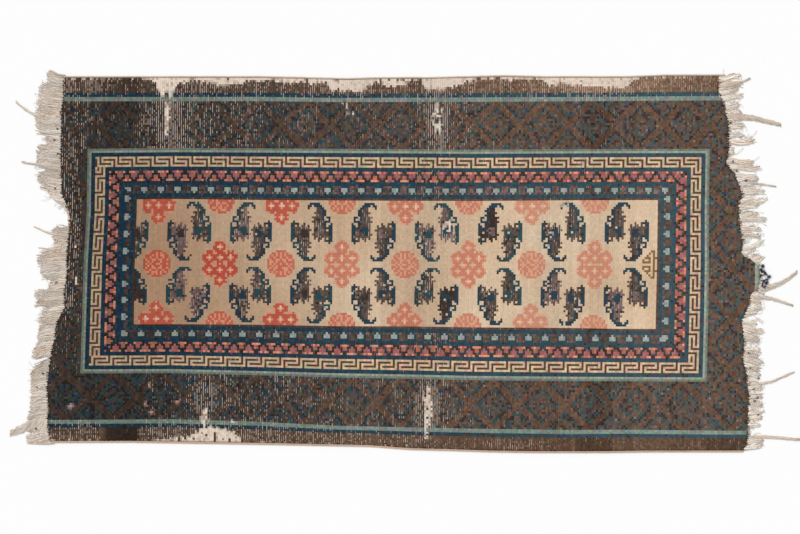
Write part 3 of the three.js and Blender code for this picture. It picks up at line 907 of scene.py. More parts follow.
# %% Levels of the corners
TUFT_TAPER = 0.22
UNEVEN_PILE = 0.25
UNEVEN_CLOTH = 0.15
SHOULDER_DROP = 1.2
LEAST_TUFT = 0.4
LEAST_RIM = 0.6
RIM_SINKS = 0.6
CORNERS = corner_id.size
flat_x = corner_x.ravel()
flat_y = corner_y.ravel()


def gather(chosen, value):
    """Adds a value of each chosen knot up at its corners."""
    total = np.zeros(CORNERS)
    for corner in range(4):
        np.add.at(total, knot_corners[chosen][:, corner], value[chosen])
    return total


ones = np.ones((ROWS, COLUMNS))
standing = shown & ~bare
lying = shown & bare
pile_height = FOUNDATION + PILE * left_of_pile
standing_count = gather(standing, ones)
lying_count = gather(lying, ones)
share = np.maximum(standing_count, 1)
top_z = gather(standing, pile_height) / share
top_z += UNEVEN_PILE * np.random.default_rng(221).uniform(-1, 1, CORNERS)
pull = np.where(lying_count > 0, TUFT_TAPER, 0.0)
top_x = flat_x + pull * (gather(standing, knot_x) / share - flat_x)
top_y = flat_y + pull * (gather(standing, knot_y) / share - flat_y)
base_z = FOUNDATION + UNEVEN_CLOTH * np.random.default_rng(222).uniform(-1, 1, CORNERS)

left_rim = corner_id[np.arange(ROWS + 1), first_corner]
right_rim = corner_id[np.arange(ROWS + 1), last_corner]
lower_rim = corner_id[0, first_corner[0]:last_corner[0] + 1]
upper_rim = corner_id[-1, first_corner[-1]:last_corner[-1] + 1]
on_rim = np.zeros(CORNERS, bool)
for rim in (left_rim, right_rim, lower_rim, upper_rim):
    on_rim[rim] = True
top_z = np.where(on_rim, np.maximum(top_z - SHOULDER_DROP, FOUNDATION + LEAST_RIM), top_z)
top_z = np.clip(top_z, FOUNDATION + LEAST_TUFT, FOUNDATION + PILE)
base_z = np.where(on_rim, FOUNDATION - RIM_SINKS, base_z)

has_top = standing_count > 0
has_base = (lying_count > 0) | on_rim
top_id = np.cumsum(has_top) - 1
base_id = has_top.sum() + np.cumsum(has_base) - 1
under_id = has_top.sum() + has_base.sum() + np.cumsum(on_rim) - 1
pile_points = np.concatenate([
    np.stack([top_x, top_y, top_z], axis=1)[has_top],
    np.stack([flat_x, flat_y, base_z], axis=1)[has_base],
    np.stack([flat_x, flat_y, np.zeros(CORNERS)], axis=1)[on_rim],
])
print("Corners that stand:", int(has_top.sum()), " that lie bare:", int(has_base.sum()))

# %% [markdown]
# Walls. A wall stands on every edge between a knot that stands and one that is gone, and it faces the bare
# side. The same function makes the rug's outer rim, in two courses: from the pile down to the level of the
# foundation, and from there to the floor. The two courses share their corners with the walls inside, so the
# whole body is closed.

# %% Faces of the pile
faces = []
face_knots = []
face_places = []


def add_faces(quads, knots, places=None):
    faces.append(quads)
    face_knots.append(knots)
    middle = np.stack([knots % COLUMNS, knots // COLUMNS], axis=1)[:, None, :] + 0.5
    face_places.append(np.repeat(middle, 4, axis=1) if places is None else places)


def add_walls(start, end, low, high, knots, flip):
    """Quads from the edge start to end, between two levels of corners. flip turns their faces round."""
    quads = np.stack([low[start], low[end], high[end], high[start]], axis=1)
    quads = np.where(np.asarray(flip)[..., None], quads[:, ::-1], quads)
    keep = start != end
    add_faces(quads[keep], knots[keep])


knot_number = np.arange(ROWS * COLUMNS).reshape(ROWS, COLUMNS)
column_step = np.array([0, 1, 1, 0])
row_step = np.array([0, 0, 1, 1])
knot_places = np.stack([columns[..., None] + column_step, rows[..., None] + row_step], axis=-1).astype(float)
add_faces(top_id[knot_corners[standing]], knot_number[standing], knot_places[standing])
add_faces(base_id[knot_corners[lying]], knot_number[lying], knot_places[lying])

beside = shown[:, :-1] & shown[:, 1:] & (bare[:, :-1] != bare[:, 1:])
standing_left = ~bare[:, :-1][beside]
add_walls(corner_id[:-1, 1:-1][beside], corner_id[1:, 1:-1][beside], base_id, top_id,
          np.where(standing_left, knot_number[:, :-1][beside], knot_number[:, 1:][beside]), ~standing_left)
above = shown[:-1] & shown[1:] & (bare[:-1] != bare[1:])
standing_below = ~bare[:-1][above]
add_walls(corner_id[1:-1, :-1][above], corner_id[1:-1, 1:][above], base_id, top_id,
          np.where(standing_below, knot_number[:-1][above], knot_number[1:][above]), standing_below)
print("Walls round standing knots:", len(faces[-1]) + len(faces[-2]))

# %% Rim and underside


def add_rim(start, end, knots, flip):
    """The rug's outer wall along one side."""
    stands = ~bare.ravel()[knots]
    add_walls(start[stands], end[stands], base_id, top_id, knots[stands], flip)
    add_walls(start, end, under_id, base_id, knots, flip)


row_range = np.arange(ROWS)
left_knots = knot_number[row_range, np.minimum(first_corner[:-1], first_corner[1:])]
right_knots = knot_number[row_range, np.maximum(last_corner[:-1], last_corner[1:]) - 1]
add_rim(left_rim[:-1], left_rim[1:], left_knots, True)
add_rim(right_rim[:-1], right_rim[1:], right_knots, False)
add_rim(lower_rim[:-1], lower_rim[1:], knot_number[0, first_corner[0]:last_corner[0]], False)
add_rim(upper_rim[:-1], upper_rim[1:], knot_number[-1, first_corner[-1]:last_corner[-1]], True)

under_quads = np.stack([left_rim[1:-2], left_rim[2:-1], right_rim[2:-1], right_rim[1:-2]], axis=1)
add_faces(under_id[under_quads], left_knots[1:-1])
lowest_strip = np.concatenate([[left_rim[0], left_rim[1], right_rim[1]], lower_rim[:0:-1]])
highest_strip = np.concatenate([upper_rim, [right_rim[-2], left_rim[-2]]])

knots = np.concatenate(face_knots)
state = np.stack([weft_shows, bare.astype(float), each_knot(230)], axis=-1)
pile_mesh = mesh_from(
    "knotted_pile", pile_points, np.concatenate(faces),
    values={"dye": knot_colour.reshape(-1, 3)[knots], "state": state.reshape(-1, 3)[knots]},
    places=np.concatenate(face_places),
    polygons=[under_id[lowest_strip], under_id[highest_strip]],
)
pile = add_piece("knotted_pile", pile_mesh)

# %% [markdown]
# Yarn. Everything else on the rug is cotton yarn: the loose warps of the fringes, the last wefts at each
# end and the cords wrapped round the long edges. Curves with a round section could do this, but thousands
# of them are slow. One function skins thousands of paths at once, with three or four sides each, which is
# plenty for a thread of two millimetres.

# %% Yarn from paths


def tubes(paths, radii, sides):
    """Closed tubes round many paths. paths is (count, steps, 3) and radii (count, steps), both in mm."""
    count, steps, _ = paths.shape
    way = np.gradient(paths, axis=1)
    way /= np.linalg.norm(way, axis=2, keepdims=True) + 1e-9
    across = np.cross(way, [0.0, 0.0, 1.0])
    across /= np.linalg.norm(across, axis=2, keepdims=True) + 1e-9
    up = np.cross(across, way)
    turn = np.arange(sides) / sides * 2 * np.pi + np.pi / 6
    ring = np.cos(turn)[:, None] * across[:, :, None, :] + np.sin(turn)[:, None] * up[:, :, None, :]
    points = paths[:, :, None, :] + radii[:, :, None, None] * ring
    number = np.arange(count * steps * sides).reshape(count, steps, sides)
    near = number[:, :-1]
    far = number[:, 1:]
    walls = np.stack([near, far, np.roll(far, -1, axis=2), np.roll(near, -1, axis=2)], axis=-1)
    walls = walls.reshape(-1, 4)
    corners = [0, 1, 2, min(3, sides - 1)]
    caps = np.concatenate([number[:, 0][:, corners], number[:, -1][:, corners[::-1]]])
    length = np.concatenate([
        np.zeros((count, 1)), np.cumsum(np.linalg.norm(np.diff(paths, axis=1), axis=2), axis=1)
    ], axis=1)
    round_share = np.arange(sides) / sides
    u = np.broadcast_to(length[:, :, None], number.shape)
    v = np.broadcast_to(round_share, number.shape)
    near_place = np.stack([u[:, :-1], v[:, :-1]], axis=-1)
    far_place = np.stack([u[:, 1:], v[:, 1:]], axis=-1)
    side_step = np.array([0.0, 1.0 / sides])
    wall_places = np.stack([near_place, far_place, far_place + side_step, near_place + side_step], axis=-2)
    places = np.concatenate([wall_places.reshape(-1, 4, 2), np.zeros((len(caps), 4, 2))])
    return points.reshape(-1, 3), np.concatenate([walls, caps]), places


def yarn_piece(name, bundles):
    """One mesh of many bundles, each a tuple of paths, radii, colours of the paths and number of sides."""
    points, quads, places, colours = [], [], [], []
    start = 0
    for paths, radii, colour, sides in bundles:
        bundle_points, bundle_quads, bundle_places = tubes(paths, radii, sides)
        count, steps, _ = paths.shape
        points.append(bundle_points)
        quads.append(bundle_quads + start)
        places.append(bundle_places)
        walls = np.repeat(colour, (steps - 1) * sides, axis=0)
        colours.append(np.concatenate([walls, colour, colour]))
        start += len(bundle_points)
    dyes = to_linear(np.clip(np.concatenate(colours), 0, 255))
    mesh = mesh_from(name, np.concatenate(points), np.concatenate(quads), values={"dye": dyes},
                     places=np.concatenate(places))
    return add_piece(name, mesh)


COTTON = np.array([234.0, 222.0, 209.0])
PEACH = np.array([224.0, 199.0, 178.0])
GREY = np.array([196.0, 187.0, 177.0])


def cotton_colours(rng, count, peach=0.14, grey=0.2):
    """Off-white yarns, some soiled to peach or grey."""
    kind = rng.random(count)
    colour = np.where((kind < peach)[:, None], PEACH, COTTON)
    colour = np.where((kind > 1 - grey)[:, None], (GREY + COTTON) / 2, colour)
    return colour * rng.uniform(0.93, 1.04, (count, 1))


print("Yarn colours go from", COTTON, "to", PEACH)

# %% [markdown]
# The fringes. When the last rows of knots unravel, the warps come loose and mat into tufts. The frame says
# how far they reach and which way they lean at each place along an end, and where a long string stands
# out. The threads of one tuft here share its reach, its lean and its wave, lie in a low heap that is highest
# in its middle, and draw together at its tip. Threads at a tuft's edges are painted a little darker, as
# painted shade between the tufts. Every fourth thread is thick and lies at the bottom, which closes the gaps
# as the felted cotton does.

# %% Locks and strings
TRIMMED_BELOW = -300.0
LEFT_MANNER = {
    "pitch": 34.0, "threads": 84, "spread": 1.5, "bulge": 0.10, "tightness": 0.30, "sway": 0.04,
    "splay": 0.10, "uneven": 0.16, "lightness": 1.0, "peach": 0.14, "grey": 0.20, "fluff": 500,
}
RIGHT_MANNER = {
    "pitch": 20.0, "threads": 24, "spread": 0.90, "bulge": -0.15, "tightness": 0.34, "sway": 0.08,
    "splay": 0.06, "uneven": 0.24, "lightness": 1.10, "peach": 0.08, "grey": 0.05, "fluff": 520,
}
LEFT_LOCKS = table("y reach lean", [
    (-541, 62, -4), (-500, 66, -14), (-470, 60, -6), (-440, 56, -10), (-380, 52, -14), (-302, 56, -10),
    (-296, 12, -4), (-262, 14, -4), (-254, 66, -12), (-200, 60, -10), (-150, 66, -6), (-105, 78, 2),
    (-80, 60, -8), (-45, 52, -4), (-34, 74, -12), (30, 88, -6), (34, 34, 4), (60, 50, 0), (86, 60, 10),
    (92, 6, 0), (160, 8, 0), (172, 34, 6), (200, 56, 14), (250, 74, 8), (300, 82, 14), (335, 80, 10),
    (352, 46, 8), (376, 52, 10), (392, 78, 12), (440, 92, 14), (500, 82, 10), (530, 58, 14), (556, 38, 17),
])
RIGHT_LOCKS = table("y reach lean", [
    (-566, 46, 2), (-530, 50, 4), (-518, 8, 0), (-500, 14, -4), (-484, 44, -6), (-430, 46, -10),
    (-360, 44, -12), (-300, 52, -10), (-225, 50, -8), (-170, 58, -4), (-120, 40, -4), (-90, 34, -8),
    (-60, 16, 4), (-10, 18, 6), (12, 42, 10), (48, 58, 8), (54, 8, 0), (72, 10, 0), (80, 62, -8),
    (170, 72, 4), (205, 60, -2), (232, 44, 10), (262, 74, -6), (306, 96, -2), (326, 20, 2), (350, 22, 2),
    (366, 84, -4), (392, 50, 0), (440, 42, 6), (500, 62, 8), (545, 64, 14),
])
LEFT_STRINGS = [
    (-488, 112, -26, 34, 6), (82, 104, 26, 6, -4), (286, 118, 16, 7, 6), (424, 136, 58, 12, -6),
    (546, 36, 23.5, 9, 0),
]
RIGHT_STRINGS = [
    (-528, 158.5, -4, 10, 8), (-360, 140, 32, 8, -12), (-106, 128, -24, 12, 6), (-76, 116, 48, 17, -6),
    (236, 112, -8, 7, 6), (434, 160, -22, 18, 8), (534, 94, 18, 9, -10),
]
FRINGE_TOP = 5.2
ROOT_INSIDE = 7.0
THREAD = 0.95
THICK_THREAD = 2.3
THIN_THREAD = 1.05
TUFTS_FROM_TO = {-1: (-541.0, 559.0), 1: (-563.0, 553.0)}


def end_place(y, side):
    return left_end(y) if side < 0 else right_end(y)


def tuft_threads(rng, side, locks_table, manner, steps):
    """The loose threads of one end as paths, radii and a lightness for each, darker at a tuft's edges as
    painted shade.
    """
    low, high = TUFTS_FROM_TO[side]
    middle = np.arange(low + manner["pitch"] / 2, high, manner["pitch"])
    middle = middle + rng.uniform(-0.30, 0.30, len(middle)) * manner["pitch"]
    uneven = np.where(middle < TRIMMED_BELOW, 0.3, 1.0) * manner["uneven"]
    reach = look_up(locks_table, "reach", middle)
    reach = reach * (1 + uneven * rng.uniform(-1, 1, len(middle)))
    lean = look_up(locks_table, "lean", middle) + rng.normal(0, 3.0, len(middle))
    swing = manner["sway"] * reach * rng.uniform(-1, 1, len(middle))
    waves = rng.uniform(0.6, 1.5, len(middle))
    phase = rng.uniform(0, 2 * np.pi, len(middle))
    lightness = manner["lightness"] * rng.uniform(0.94, 1.02, len(middle))

    tuft = np.repeat(np.arange(len(middle)), manner["threads"])
    count = len(tuft)
    place = rng.uniform(-1, 1, count)[:, None]
    thick = (np.arange(count) % 4 == 0)[:, None]
    part = np.linspace(0, 1, steps)[None, :]
    half_width = manner["pitch"] / 2 * manner["spread"]
    start_y = np.clip(middle[tuft][:, None] + place * half_width, low - 1, high + 1)
    start_x = end_place(start_y, side) - side * ROOT_INSIDE
    out = reach[tuft][:, None] * (1.06 - 0.26 * place ** 4) * rng.uniform(0.80, 1.0, (count, 1))
    drawn_in = manner["bulge"] * np.sin(np.pi * part) - manner["tightness"] * part ** 3
    splay = manner["splay"] * out * rng.normal(0, 1, (count, 1)) * part ** 2
    gather_in = place * half_width * drawn_in + splay
    sway = swing[tuft][:, None] * np.sin(2 * np.pi * waves[tuft][:, None] * part + phase[tuft][:, None])
    own_phase = rng.uniform(0, 2 * np.pi, (count, 1))
    own_waves = rng.uniform(0.8, 2.4, (count, 1))
    wander = rng.uniform(0.004, 0.018, (count, 1)) * out
    grow = np.minimum(1.0, 2.5 * part)
    x = start_x + side * (ROOT_INSIDE + out) * part
    y = start_y + gather_in + lean[tuft][:, None] * part ** 2
    y = y + grow * (sway + wander * np.sin(2 * np.pi * own_waves * part + own_phase))
    y = np.maximum(y, low - 3)
    radii = np.where(thick, THICK_THREAD, THIN_THREAD)
    radii = radii * rng.uniform(0.85, 1.15, (count, 1)) * (1 - 0.40 * part ** 2)
    heap = (FRINGE_TOP - 2.4) * rng.random((count, 1)) * (1 - 0.5 * place ** 2) * (1 - 0.55 * part)
    z = radii + np.where(thick, 0.0, 0.4 + heap)
    z = np.where(part < 0.1, np.maximum(1.3, radii), z)
    # Threads at a tuft's edges are painted darker: painted shade between the tufts.
    shade = lightness[tuft] * (1.02 - 0.10 * abs(place[:, 0]) ** 3)
    return np.stack([x, y, z], axis=-1), radii, shade


def strings(rng, side, strings_table, steps):
    """Long strings: a twist of threads round each one's course, fanned out where it leaves the cloth."""
    paths, radii = [], []
    part = np.linspace(0, 1, steps)
    for y, out, along, width, bow in strings_table:
        x = end_place(y, side) + side * (2 + (out + 3) * part - 3)
        course_y = y + along * part ** 2 + bow * np.sin(np.pi * part) * (1 - part)
        fan = 0.06 * max(width - 8, 0)
        size = width * (1 - 0.30 * part + fan * (1 - part) ** 3)
        count = int(4 + 1.3 * width)
        for number in range(count):
            turn = 2 * np.pi * (number / count + part * out / 60) + rng.normal(0, 0.3)
            off = 0.50 * size * rng.uniform(0.3, 1.0)
            path_y = course_y + off * np.cos(turn) + 0.8 * np.sin(2 * np.pi * (3 * part + rng.random()))
            lift = (FRINGE_TOP - 2.4) * (0.5 + 0.5 * np.sin(turn))
            path_z = 1.2 * THREAD + lift * (1 - 0.3 * part)
            cut = rng.uniform(0.80, 1.0) if number % 3 else 1.0
            stretch = part * cut
            paths.append(np.stack([np.interp(stretch, part, line) for line in (x, path_y, path_z)], axis=-1))
            radii.append(THREAD * 1.15 * (1 - 0.30 * part))
    return np.array(paths), np.array(radii)


print("The left end has", len(LEFT_STRINGS), "long strings and the right end", len(RIGHT_STRINGS))

# %% [markdown]
# Between the locks lie finer things: fluff, which is single fibres gone every way, and the last wefts,
# which still hold the warps together in a narrow band along the ragged end.

# %% Fluff and the last wefts
FLUFF_THREAD = 0.55
FLUFF_FROM_TO = {-1: (-535.0, 552.0), 1: (-556.0, 545.0)}
WEFTS_FROM_TO = {-1: (-536.0, 552.0), 1: (-560.0, 552.0)}
WEFT_DISTANCES = [0.6, 2.6, 4.6, 6.6]


def fluff(rng, side, locks_table, count):
    """Short thin threads that lie across the tufts in any direction, some of them in loops."""
    low, high = FLUFF_FROM_TO[side]
    steps = 8
    part = np.linspace(0, 1, steps)[None, :]
    middle_y = rng.uniform(low, high, count)
    reach = look_up(locks_table, "reach", middle_y)
    middle_x = end_place(middle_y, side) + side * reach * rng.uniform(0.05, 0.95, count)
    length = rng.uniform(10, 46, count) * np.clip(reach / 50, 0.3, 1)
    heading = rng.uniform(-1.3, 1.3, count)
    bend = rng.normal(0, 1.8, count)
    angle = heading[:, None] + bend[:, None] * (part - 0.5)
    stride = length[:, None] / (steps - 1)
    x = middle_x[:, None] + side * np.cumsum(np.cos(angle) * stride, axis=1)
    y = middle_y[:, None] + np.cumsum(np.sin(angle) * stride, axis=1)
    x -= side * length[:, None] * 0.5
    farthest = end_place(middle_y, side) + side * (reach + 6)
    x = np.minimum(x, farthest[:, None]) if side > 0 else np.maximum(x, farthest[:, None])
    z = 0.7 + rng.uniform(0.5, 1.0, (count, 1)) * 3.8 * np.sin(np.pi * (0.15 + 0.7 * part))
    radii = np.full((count, steps), FLUFF_THREAD) * rng.uniform(0.7, 1.2, (count, 1))
    return np.stack([x, y, z], axis=-1), radii


def last_wefts(rng, side, distances, steps):
    """Wefts that follow the end line just outside the pile, each going over and under the warps."""
    low, high = WEFTS_FROM_TO[side]
    y = np.linspace(low, high, steps)
    paths = []
    for number, distance in enumerate(distances):
        wobble = 0.5 * np.sin(y / 17 + number) + rng.normal(0, 0.25, steps)
        x = end_place(y, side) + side * (distance + wobble)
        z = 1.9 + 0.35 * np.sin(y / 3.15 * np.pi + number * np.pi)
        paths.append(np.stack([x, y, z], axis=-1))
    return np.array(paths), np.full((len(distances), steps), THREAD)


def make_fringe(name, side, seed, locks_table, strings_table, manner):
    rng = np.random.default_rng(seed)
    tuft_paths, tuft_radii, shade = tuft_threads(rng, side, locks_table, manner, 9)
    # The tufts' colours take the painted shade at their edges from tuft_threads.
    tuft_colours = cotton_colours(rng, len(tuft_paths), manner["peach"], manner["grey"]) * shade[:, None]
    string_paths, string_radii = strings(rng, side, strings_table, 16)
    fluff_paths, fluff_radii = fluff(rng, side, locks_table, manner["fluff"])
    weft_paths, weft_radii = last_wefts(rng, side, WEFT_DISTANCES, 380)
    return yarn_piece(name, [
        (tuft_paths, tuft_radii, tuft_colours, 3),
        (string_paths, string_radii, cotton_colours(rng, len(string_paths), 0.2, 0.3), 4),
        (fluff_paths, fluff_radii, cotton_colours(rng, len(fluff_paths), 0.05, 0.1), 3),
        (weft_paths, weft_radii, cotton_colours(rng, len(weft_paths), 0.6, 0.1), 4),
    ])


fringe_left = make_fringe("fringe_yarn_left", -1, 300, LEFT_LOCKS, LEFT_STRINGS, LEFT_MANNER)
fringe_right = make_fringe("fringe_yarn_right", 1, 301, RIGHT_LOCKS, RIGHT_STRINGS, RIGHT_MANNER)

# %% [markdown]
# Here and there a knot of wool has slipped off the last row and hangs in the cotton, and at the small ear
# on the right end the whole blue guard line has come undone in tufts. Each tuft is a few short ends of wool
# that spring from one place. The last knots that still hold have nothing beside them to keep them upright,
# so they splay outwards in a row of short ends, each in the colour of its own knot.

# %% Slipped knots
SLIPPED_LEFT = [
    (-1035, 450, "brown"), (-1047, 399, "dark"), (-1053, 366, "brown"), (-1044, 324, "dark"),
    (-1053, 222, "brown"), (-1050, -62, "dark"), (-1089, -333, "teal"), (-1107, -375, "dark"),
    (-1110, -500, "dark"), (-1062, -410, "brown"),
]
EAR_TUFTS = [
    (1068, -24), (1080, -36), (1089, -45), (1071, -57), (1077, -75), (1066, -40), (1070, -12), (1084, -62),
    (1074, -30), (1083, -52), (1069, -68),
]
RIGHT_TUFTS = [
    (975, 420, "brown"), (981, 303, "dark"), (993, 273, "dark"), (1020, 246, "brown"), (1029, -273, "dark"),
    (1035, -315, "brown"), (1059, -348, "dark"), (1032, -363, "brown"), (1044, -381, "dark"),
    (1056, -408, "brown"), (1047, -417, "dark"), (1056, -456, "brown"),
]


def tufts(rng, spots, ends, length):
    paths, radii, colours = [], [], []
    part = np.linspace(0, 1, 5)
    for x, y, name in spots:
        for _ in range(ends):
            angle = rng.uniform(0, 2 * np.pi)
            reach = length * rng.uniform(0.5, 1.0)
            curl = rng.normal(0, 0.8)
            way = angle + curl * part
            stride = reach / 4
            path_x = x + np.concatenate([[0], np.cumsum(np.cos(way[1:]) * stride)])
            path_y = y + np.concatenate([[0], np.cumsum(np.sin(way[1:]) * stride)])
            path_z = 2.2 + 3.0 * np.sin(np.pi * (0.1 + 0.6 * part)) * rng.uniform(0.6, 1)
            paths.append(np.stack([path_x, path_y, path_z], axis=-1))
            radii.append(1.25 * (1 - 0.5 * part))
            colours.append(np.array(DYES[name]) * rng.uniform(0.8, 1.15))
    return np.array(paths), np.array(radii), np.array(colours)


def splayed(rng, side, ends):
    """Short ends of wool that lean out over the cloth's end, some for each row of knots."""
    row = np.repeat(np.arange(ROWS), ends)
    last = first_corner[row] if side < 0 else last_corner[row] - 1
    part = np.linspace(0, 1, 4)[None, :]
    start_y = np.interp(row + rng.random(len(row)), np.arange(ROWS + 1), corner_y[:, COLUMNS // 2])
    start_x = end_place(start_y, side) - side * 2.0
    heading = rng.uniform(-0.8, 0.8, (len(row), 1))
    length = 2.0 + 9.0 * rng.random((len(row), 1)) ** 2
    x = start_x[:, None] + side * length * np.cos(heading) * part
    y = np.clip(start_y[:, None] + length * np.sin(heading) * part, low_edge(x), high_edge(x))
    z = 5.2 - rng.uniform(1.5, 3.2, (len(row), 1)) * part ** 2
    radii = 1.2 * (1 - 0.45 * part) * rng.uniform(0.8, 1.1, (len(row), 1))
    wool = colour[row, np.clip(last, 0, COLUMNS - 1)] * rng.uniform(0.72, 1.1, (len(row), 1))
    gone = bare[row, np.clip(last, 0, COLUMNS - 1)]
    return np.stack([x, y, z], axis=-1)[~gone], radii[~gone], wool[~gone]


def tuft_piece(name, seed, side, groups):
    rng = np.random.default_rng(seed)
    bundles = [(*tufts(rng, spots, ends, length), 3) for spots, ends, length in groups]
    return yarn_piece(name, [*bundles, (*splayed(rng, side, 4), 3)])


ear_spots = [(x, y, "navy") for x, y in EAR_TUFTS]
tufts_left = tuft_piece("slipped_knots_left", 310, -1, [(SLIPPED_LEFT, 5, 6)])
tufts_right = tuft_piece("slipped_knots_right", 311, 1, [(RIGHT_TUFTS, 5, 6), (ear_spots, 12, 9)])

# %% [markdown]
# The long edges. Each selvedge is a cord of a few warps with the weft wrapped round it. A plain tube with a
# striped bump would do from above, but the edge is what shows from the side, so the wrapping is real: the
# radius swells and shrinks along the cord, a swell for each turn of the weft.

# %% Selvedges
WRAP = 6.4
SELVEDGE_TAIL = 22.0
UPPER_CORD = (205, 188, 172)
LOWER_CORD = (204, 172, 146)
UPPER_CORD_STOP = 939 + SELVEDGE_TAIL
LOWER_CORD_STOP = 1013


def selvedge(name, seed, side, start, stop, colour):
    rng = np.random.default_rng(seed)
    x = np.arange(start, stop, WRAP / 2)
    edge = high_edge(np.minimum(x, UPPER_SIDE["x"][-1])) if side > 0 else low_edge(x)
    y = edge + side * (0.3 + SELVEDGE_WIDTH / 2) + rng.normal(0, 0.12, len(x))
    z = np.full(len(x), SELVEDGE_HEIGHT / 2)
    swell = np.where(np.arange(len(x)) % 2, 1.0, 0.86) * rng.uniform(0.94, 1.03, len(x))
    radius = SELVEDGE_HEIGHT / 2 * swell
    radius[[0, -1]] *= 0.6
    path = np.stack([x, y, z], axis=-1)[None]
    return yarn_piece(name, [(path, radius[None], np.array([colour], float), 8)])


selvedge_upper = selvedge("selvedge_cord_upper", 320, 1, left_end(550), UPPER_CORD_STOP, UPPER_CORD)
selvedge_lower = selvedge("selvedge_cord_lower", 321, -1, left_end(-540), LOWER_CORD_STOP, LOWER_CORD)

# %% [markdown]
# Finishes. Four small effects are node groups of their own: the fibres of a yarn, the soil of years, the
# shape of a knot, and the twist of a thread. All but the knots are used in more than one material. A group
# takes plain values and gives back a colour or a height, and the material does the shading.

# %% Node helpers


def new_group(name, inputs, outputs):
    group = bpy.data.node_groups.new(name, "ShaderNodeTree")
    for socket, kind, default in inputs:
        made = group.interface.new_socket(name=socket, in_out="INPUT", socket_type=kind)
        if default is not None:
            made.default_value = default
    for socket, kind in outputs:
        group.interface.new_socket(name=socket, in_out="OUTPUT", socket_type=kind)
    return group, group.nodes.new("NodeGroupInput"), group.nodes.new("NodeGroupOutput")


def feed(tree, socket, value):
    """Sets a socket to a plain number or colour, or links another node's output to it."""
    if isinstance(value, (int, float, tuple)):
        socket.default_value = value
    elif value is not None:
        tree.links.new(value, socket)


def math_node(tree, operation, first, second=None, third=None):
    """A math node fed by sockets or plain numbers, and its output."""
    node = tree.nodes.new("ShaderNodeMath")
    node.operation = operation
    for socket, value in zip(node.inputs, (first, second, third)):
        feed(tree, socket, value)
    return node.outputs[0]


def mix_colour(tree, share, first, second, blend="MIX"):
    node = tree.nodes.new("ShaderNodeMix")
    node.data_type = "RGBA"
    node.blend_type = blend
    for socket, value in zip((node.inputs[0], node.inputs[6], node.inputs[7]), (share, first, second)):
        feed(tree, socket, value)
    return node.outputs[2]


FLOAT = "NodeSocketFloat"
COLOUR = "NodeSocketColor"
VECTOR = "NodeSocketVector"

# %% [markdown]
# Fibres: fine noise, in object space so that it doesn't stretch. It lightens and darkens the colour a
# little and roughens the surface.

# %% Group: fibres
fibres, taken, given = new_group(
    "Fibres",
    [("Place", VECTOR, None), ("Scale", FLOAT, 900.0), ("Contrast", FLOAT, 0.2)],
    [("Shade", FLOAT), ("Height", FLOAT)],
)
fine = fibres.nodes.new("ShaderNodeTexNoise")
fine.inputs["Detail"].default_value = 3.0
fine.inputs["Roughness"].default_value = 0.7
fibres.links.new(taken.outputs["Place"], fine.inputs["Vector"])
fibres.links.new(taken.outputs["Scale"], fine.inputs["Scale"])
centred = math_node(fibres, "SUBTRACT", fine.outputs["Fac"], 0.5)
swing = math_node(fibres, "MULTIPLY", centred, taken.outputs["Contrast"])
shade = math_node(fibres, "MULTIPLY_ADD", swing, 2.0, 1.0)
fibres.links.new(shade, given.inputs["Shade"])
fibres.links.new(fine.outputs["Fac"], given.inputs["Height"])
print("Group", fibres.name, "has", len(fibres.nodes), "nodes")

# %% [markdown]
# Soil: large soft patches that darken and warm a colour. Cotton takes it more than wool.

# %% Group: soil
soil, taken, given = new_group(
    "Soil",
    [("Colour", COLOUR, (0.8, 0.8, 0.8, 1)), ("Place", VECTOR, None), ("Scale", FLOAT, 9.0),
     ("Amount", FLOAT, 0.3)],
    [("Colour", COLOUR)],
)
patches = soil.nodes.new("ShaderNodeTexNoise")
patches.inputs["Detail"].default_value = 4.0
soil.links.new(taken.outputs["Place"], patches.inputs["Vector"])
soil.links.new(taken.outputs["Scale"], patches.inputs["Scale"])
spread = soil.nodes.new("ShaderNodeMapRange")
spread.interpolation_type = "SMOOTHSTEP"
spread.inputs["From Min"].default_value = 0.42
spread.inputs["From Max"].default_value = 0.68
soil.links.new(patches.outputs["Fac"], spread.inputs["Value"])
amount = math_node(soil, "MULTIPLY", spread.outputs["Result"], taken.outputs["Amount"])
SOIL_TINT = (0.62, 0.50, 0.38, 1)
soiled = mix_colour(soil, amount, taken.outputs["Colour"], SOIL_TINT, "MULTIPLY")
soil.links.new(soiled, given.inputs["Colour"])
print("Group", soil.name, "has", len(soil.nodes), "nodes")

# %% [markdown]
# Knots: the place of a point inside its knot, from the mesh's own knot grid. Each knot is a small cushion,
# and the weft shows as a thin line at its left side. The line's edges are kept soft, because a hard line
# thinner than a pixel would flicker.

# %% Group: knots
WEFT_WIDTH = 0.30
knots_group, taken, given = new_group(
    "Knots",
    [("Grid", VECTOR, None), ("Weft Shows", FLOAT, 0.3)],
    [("Cushion", FLOAT), ("Weft", FLOAT), ("Rib", FLOAT)],
)
split = knots_group.nodes.new("ShaderNodeSeparateXYZ")
knots_group.links.new(taken.outputs["Grid"], split.inputs[0])
across_knot = math_node(knots_group, "FRACT", split.outputs["X"])
up_knot = math_node(knots_group, "FRACT", split.outputs["Y"])
across_hump = math_node(knots_group, "SINE", math_node(knots_group, "MULTIPLY", across_knot, np.pi))
up_hump = math_node(knots_group, "SINE", math_node(knots_group, "MULTIPLY", up_knot, np.pi))
up_share = math_node(knots_group, "MULTIPLY_ADD", up_hump, 0.5, 0.5)
cushion = math_node(knots_group, "MULTIPLY", across_hump, up_share)
line = knots_group.nodes.new("ShaderNodeMapRange")
line.interpolation_type = "SMOOTHSTEP"
line.inputs["From Min"].default_value = WEFT_WIDTH * 1.5
line.inputs["From Max"].default_value = WEFT_WIDTH * 0.5
knots_group.links.new(across_knot, line.inputs["Value"])
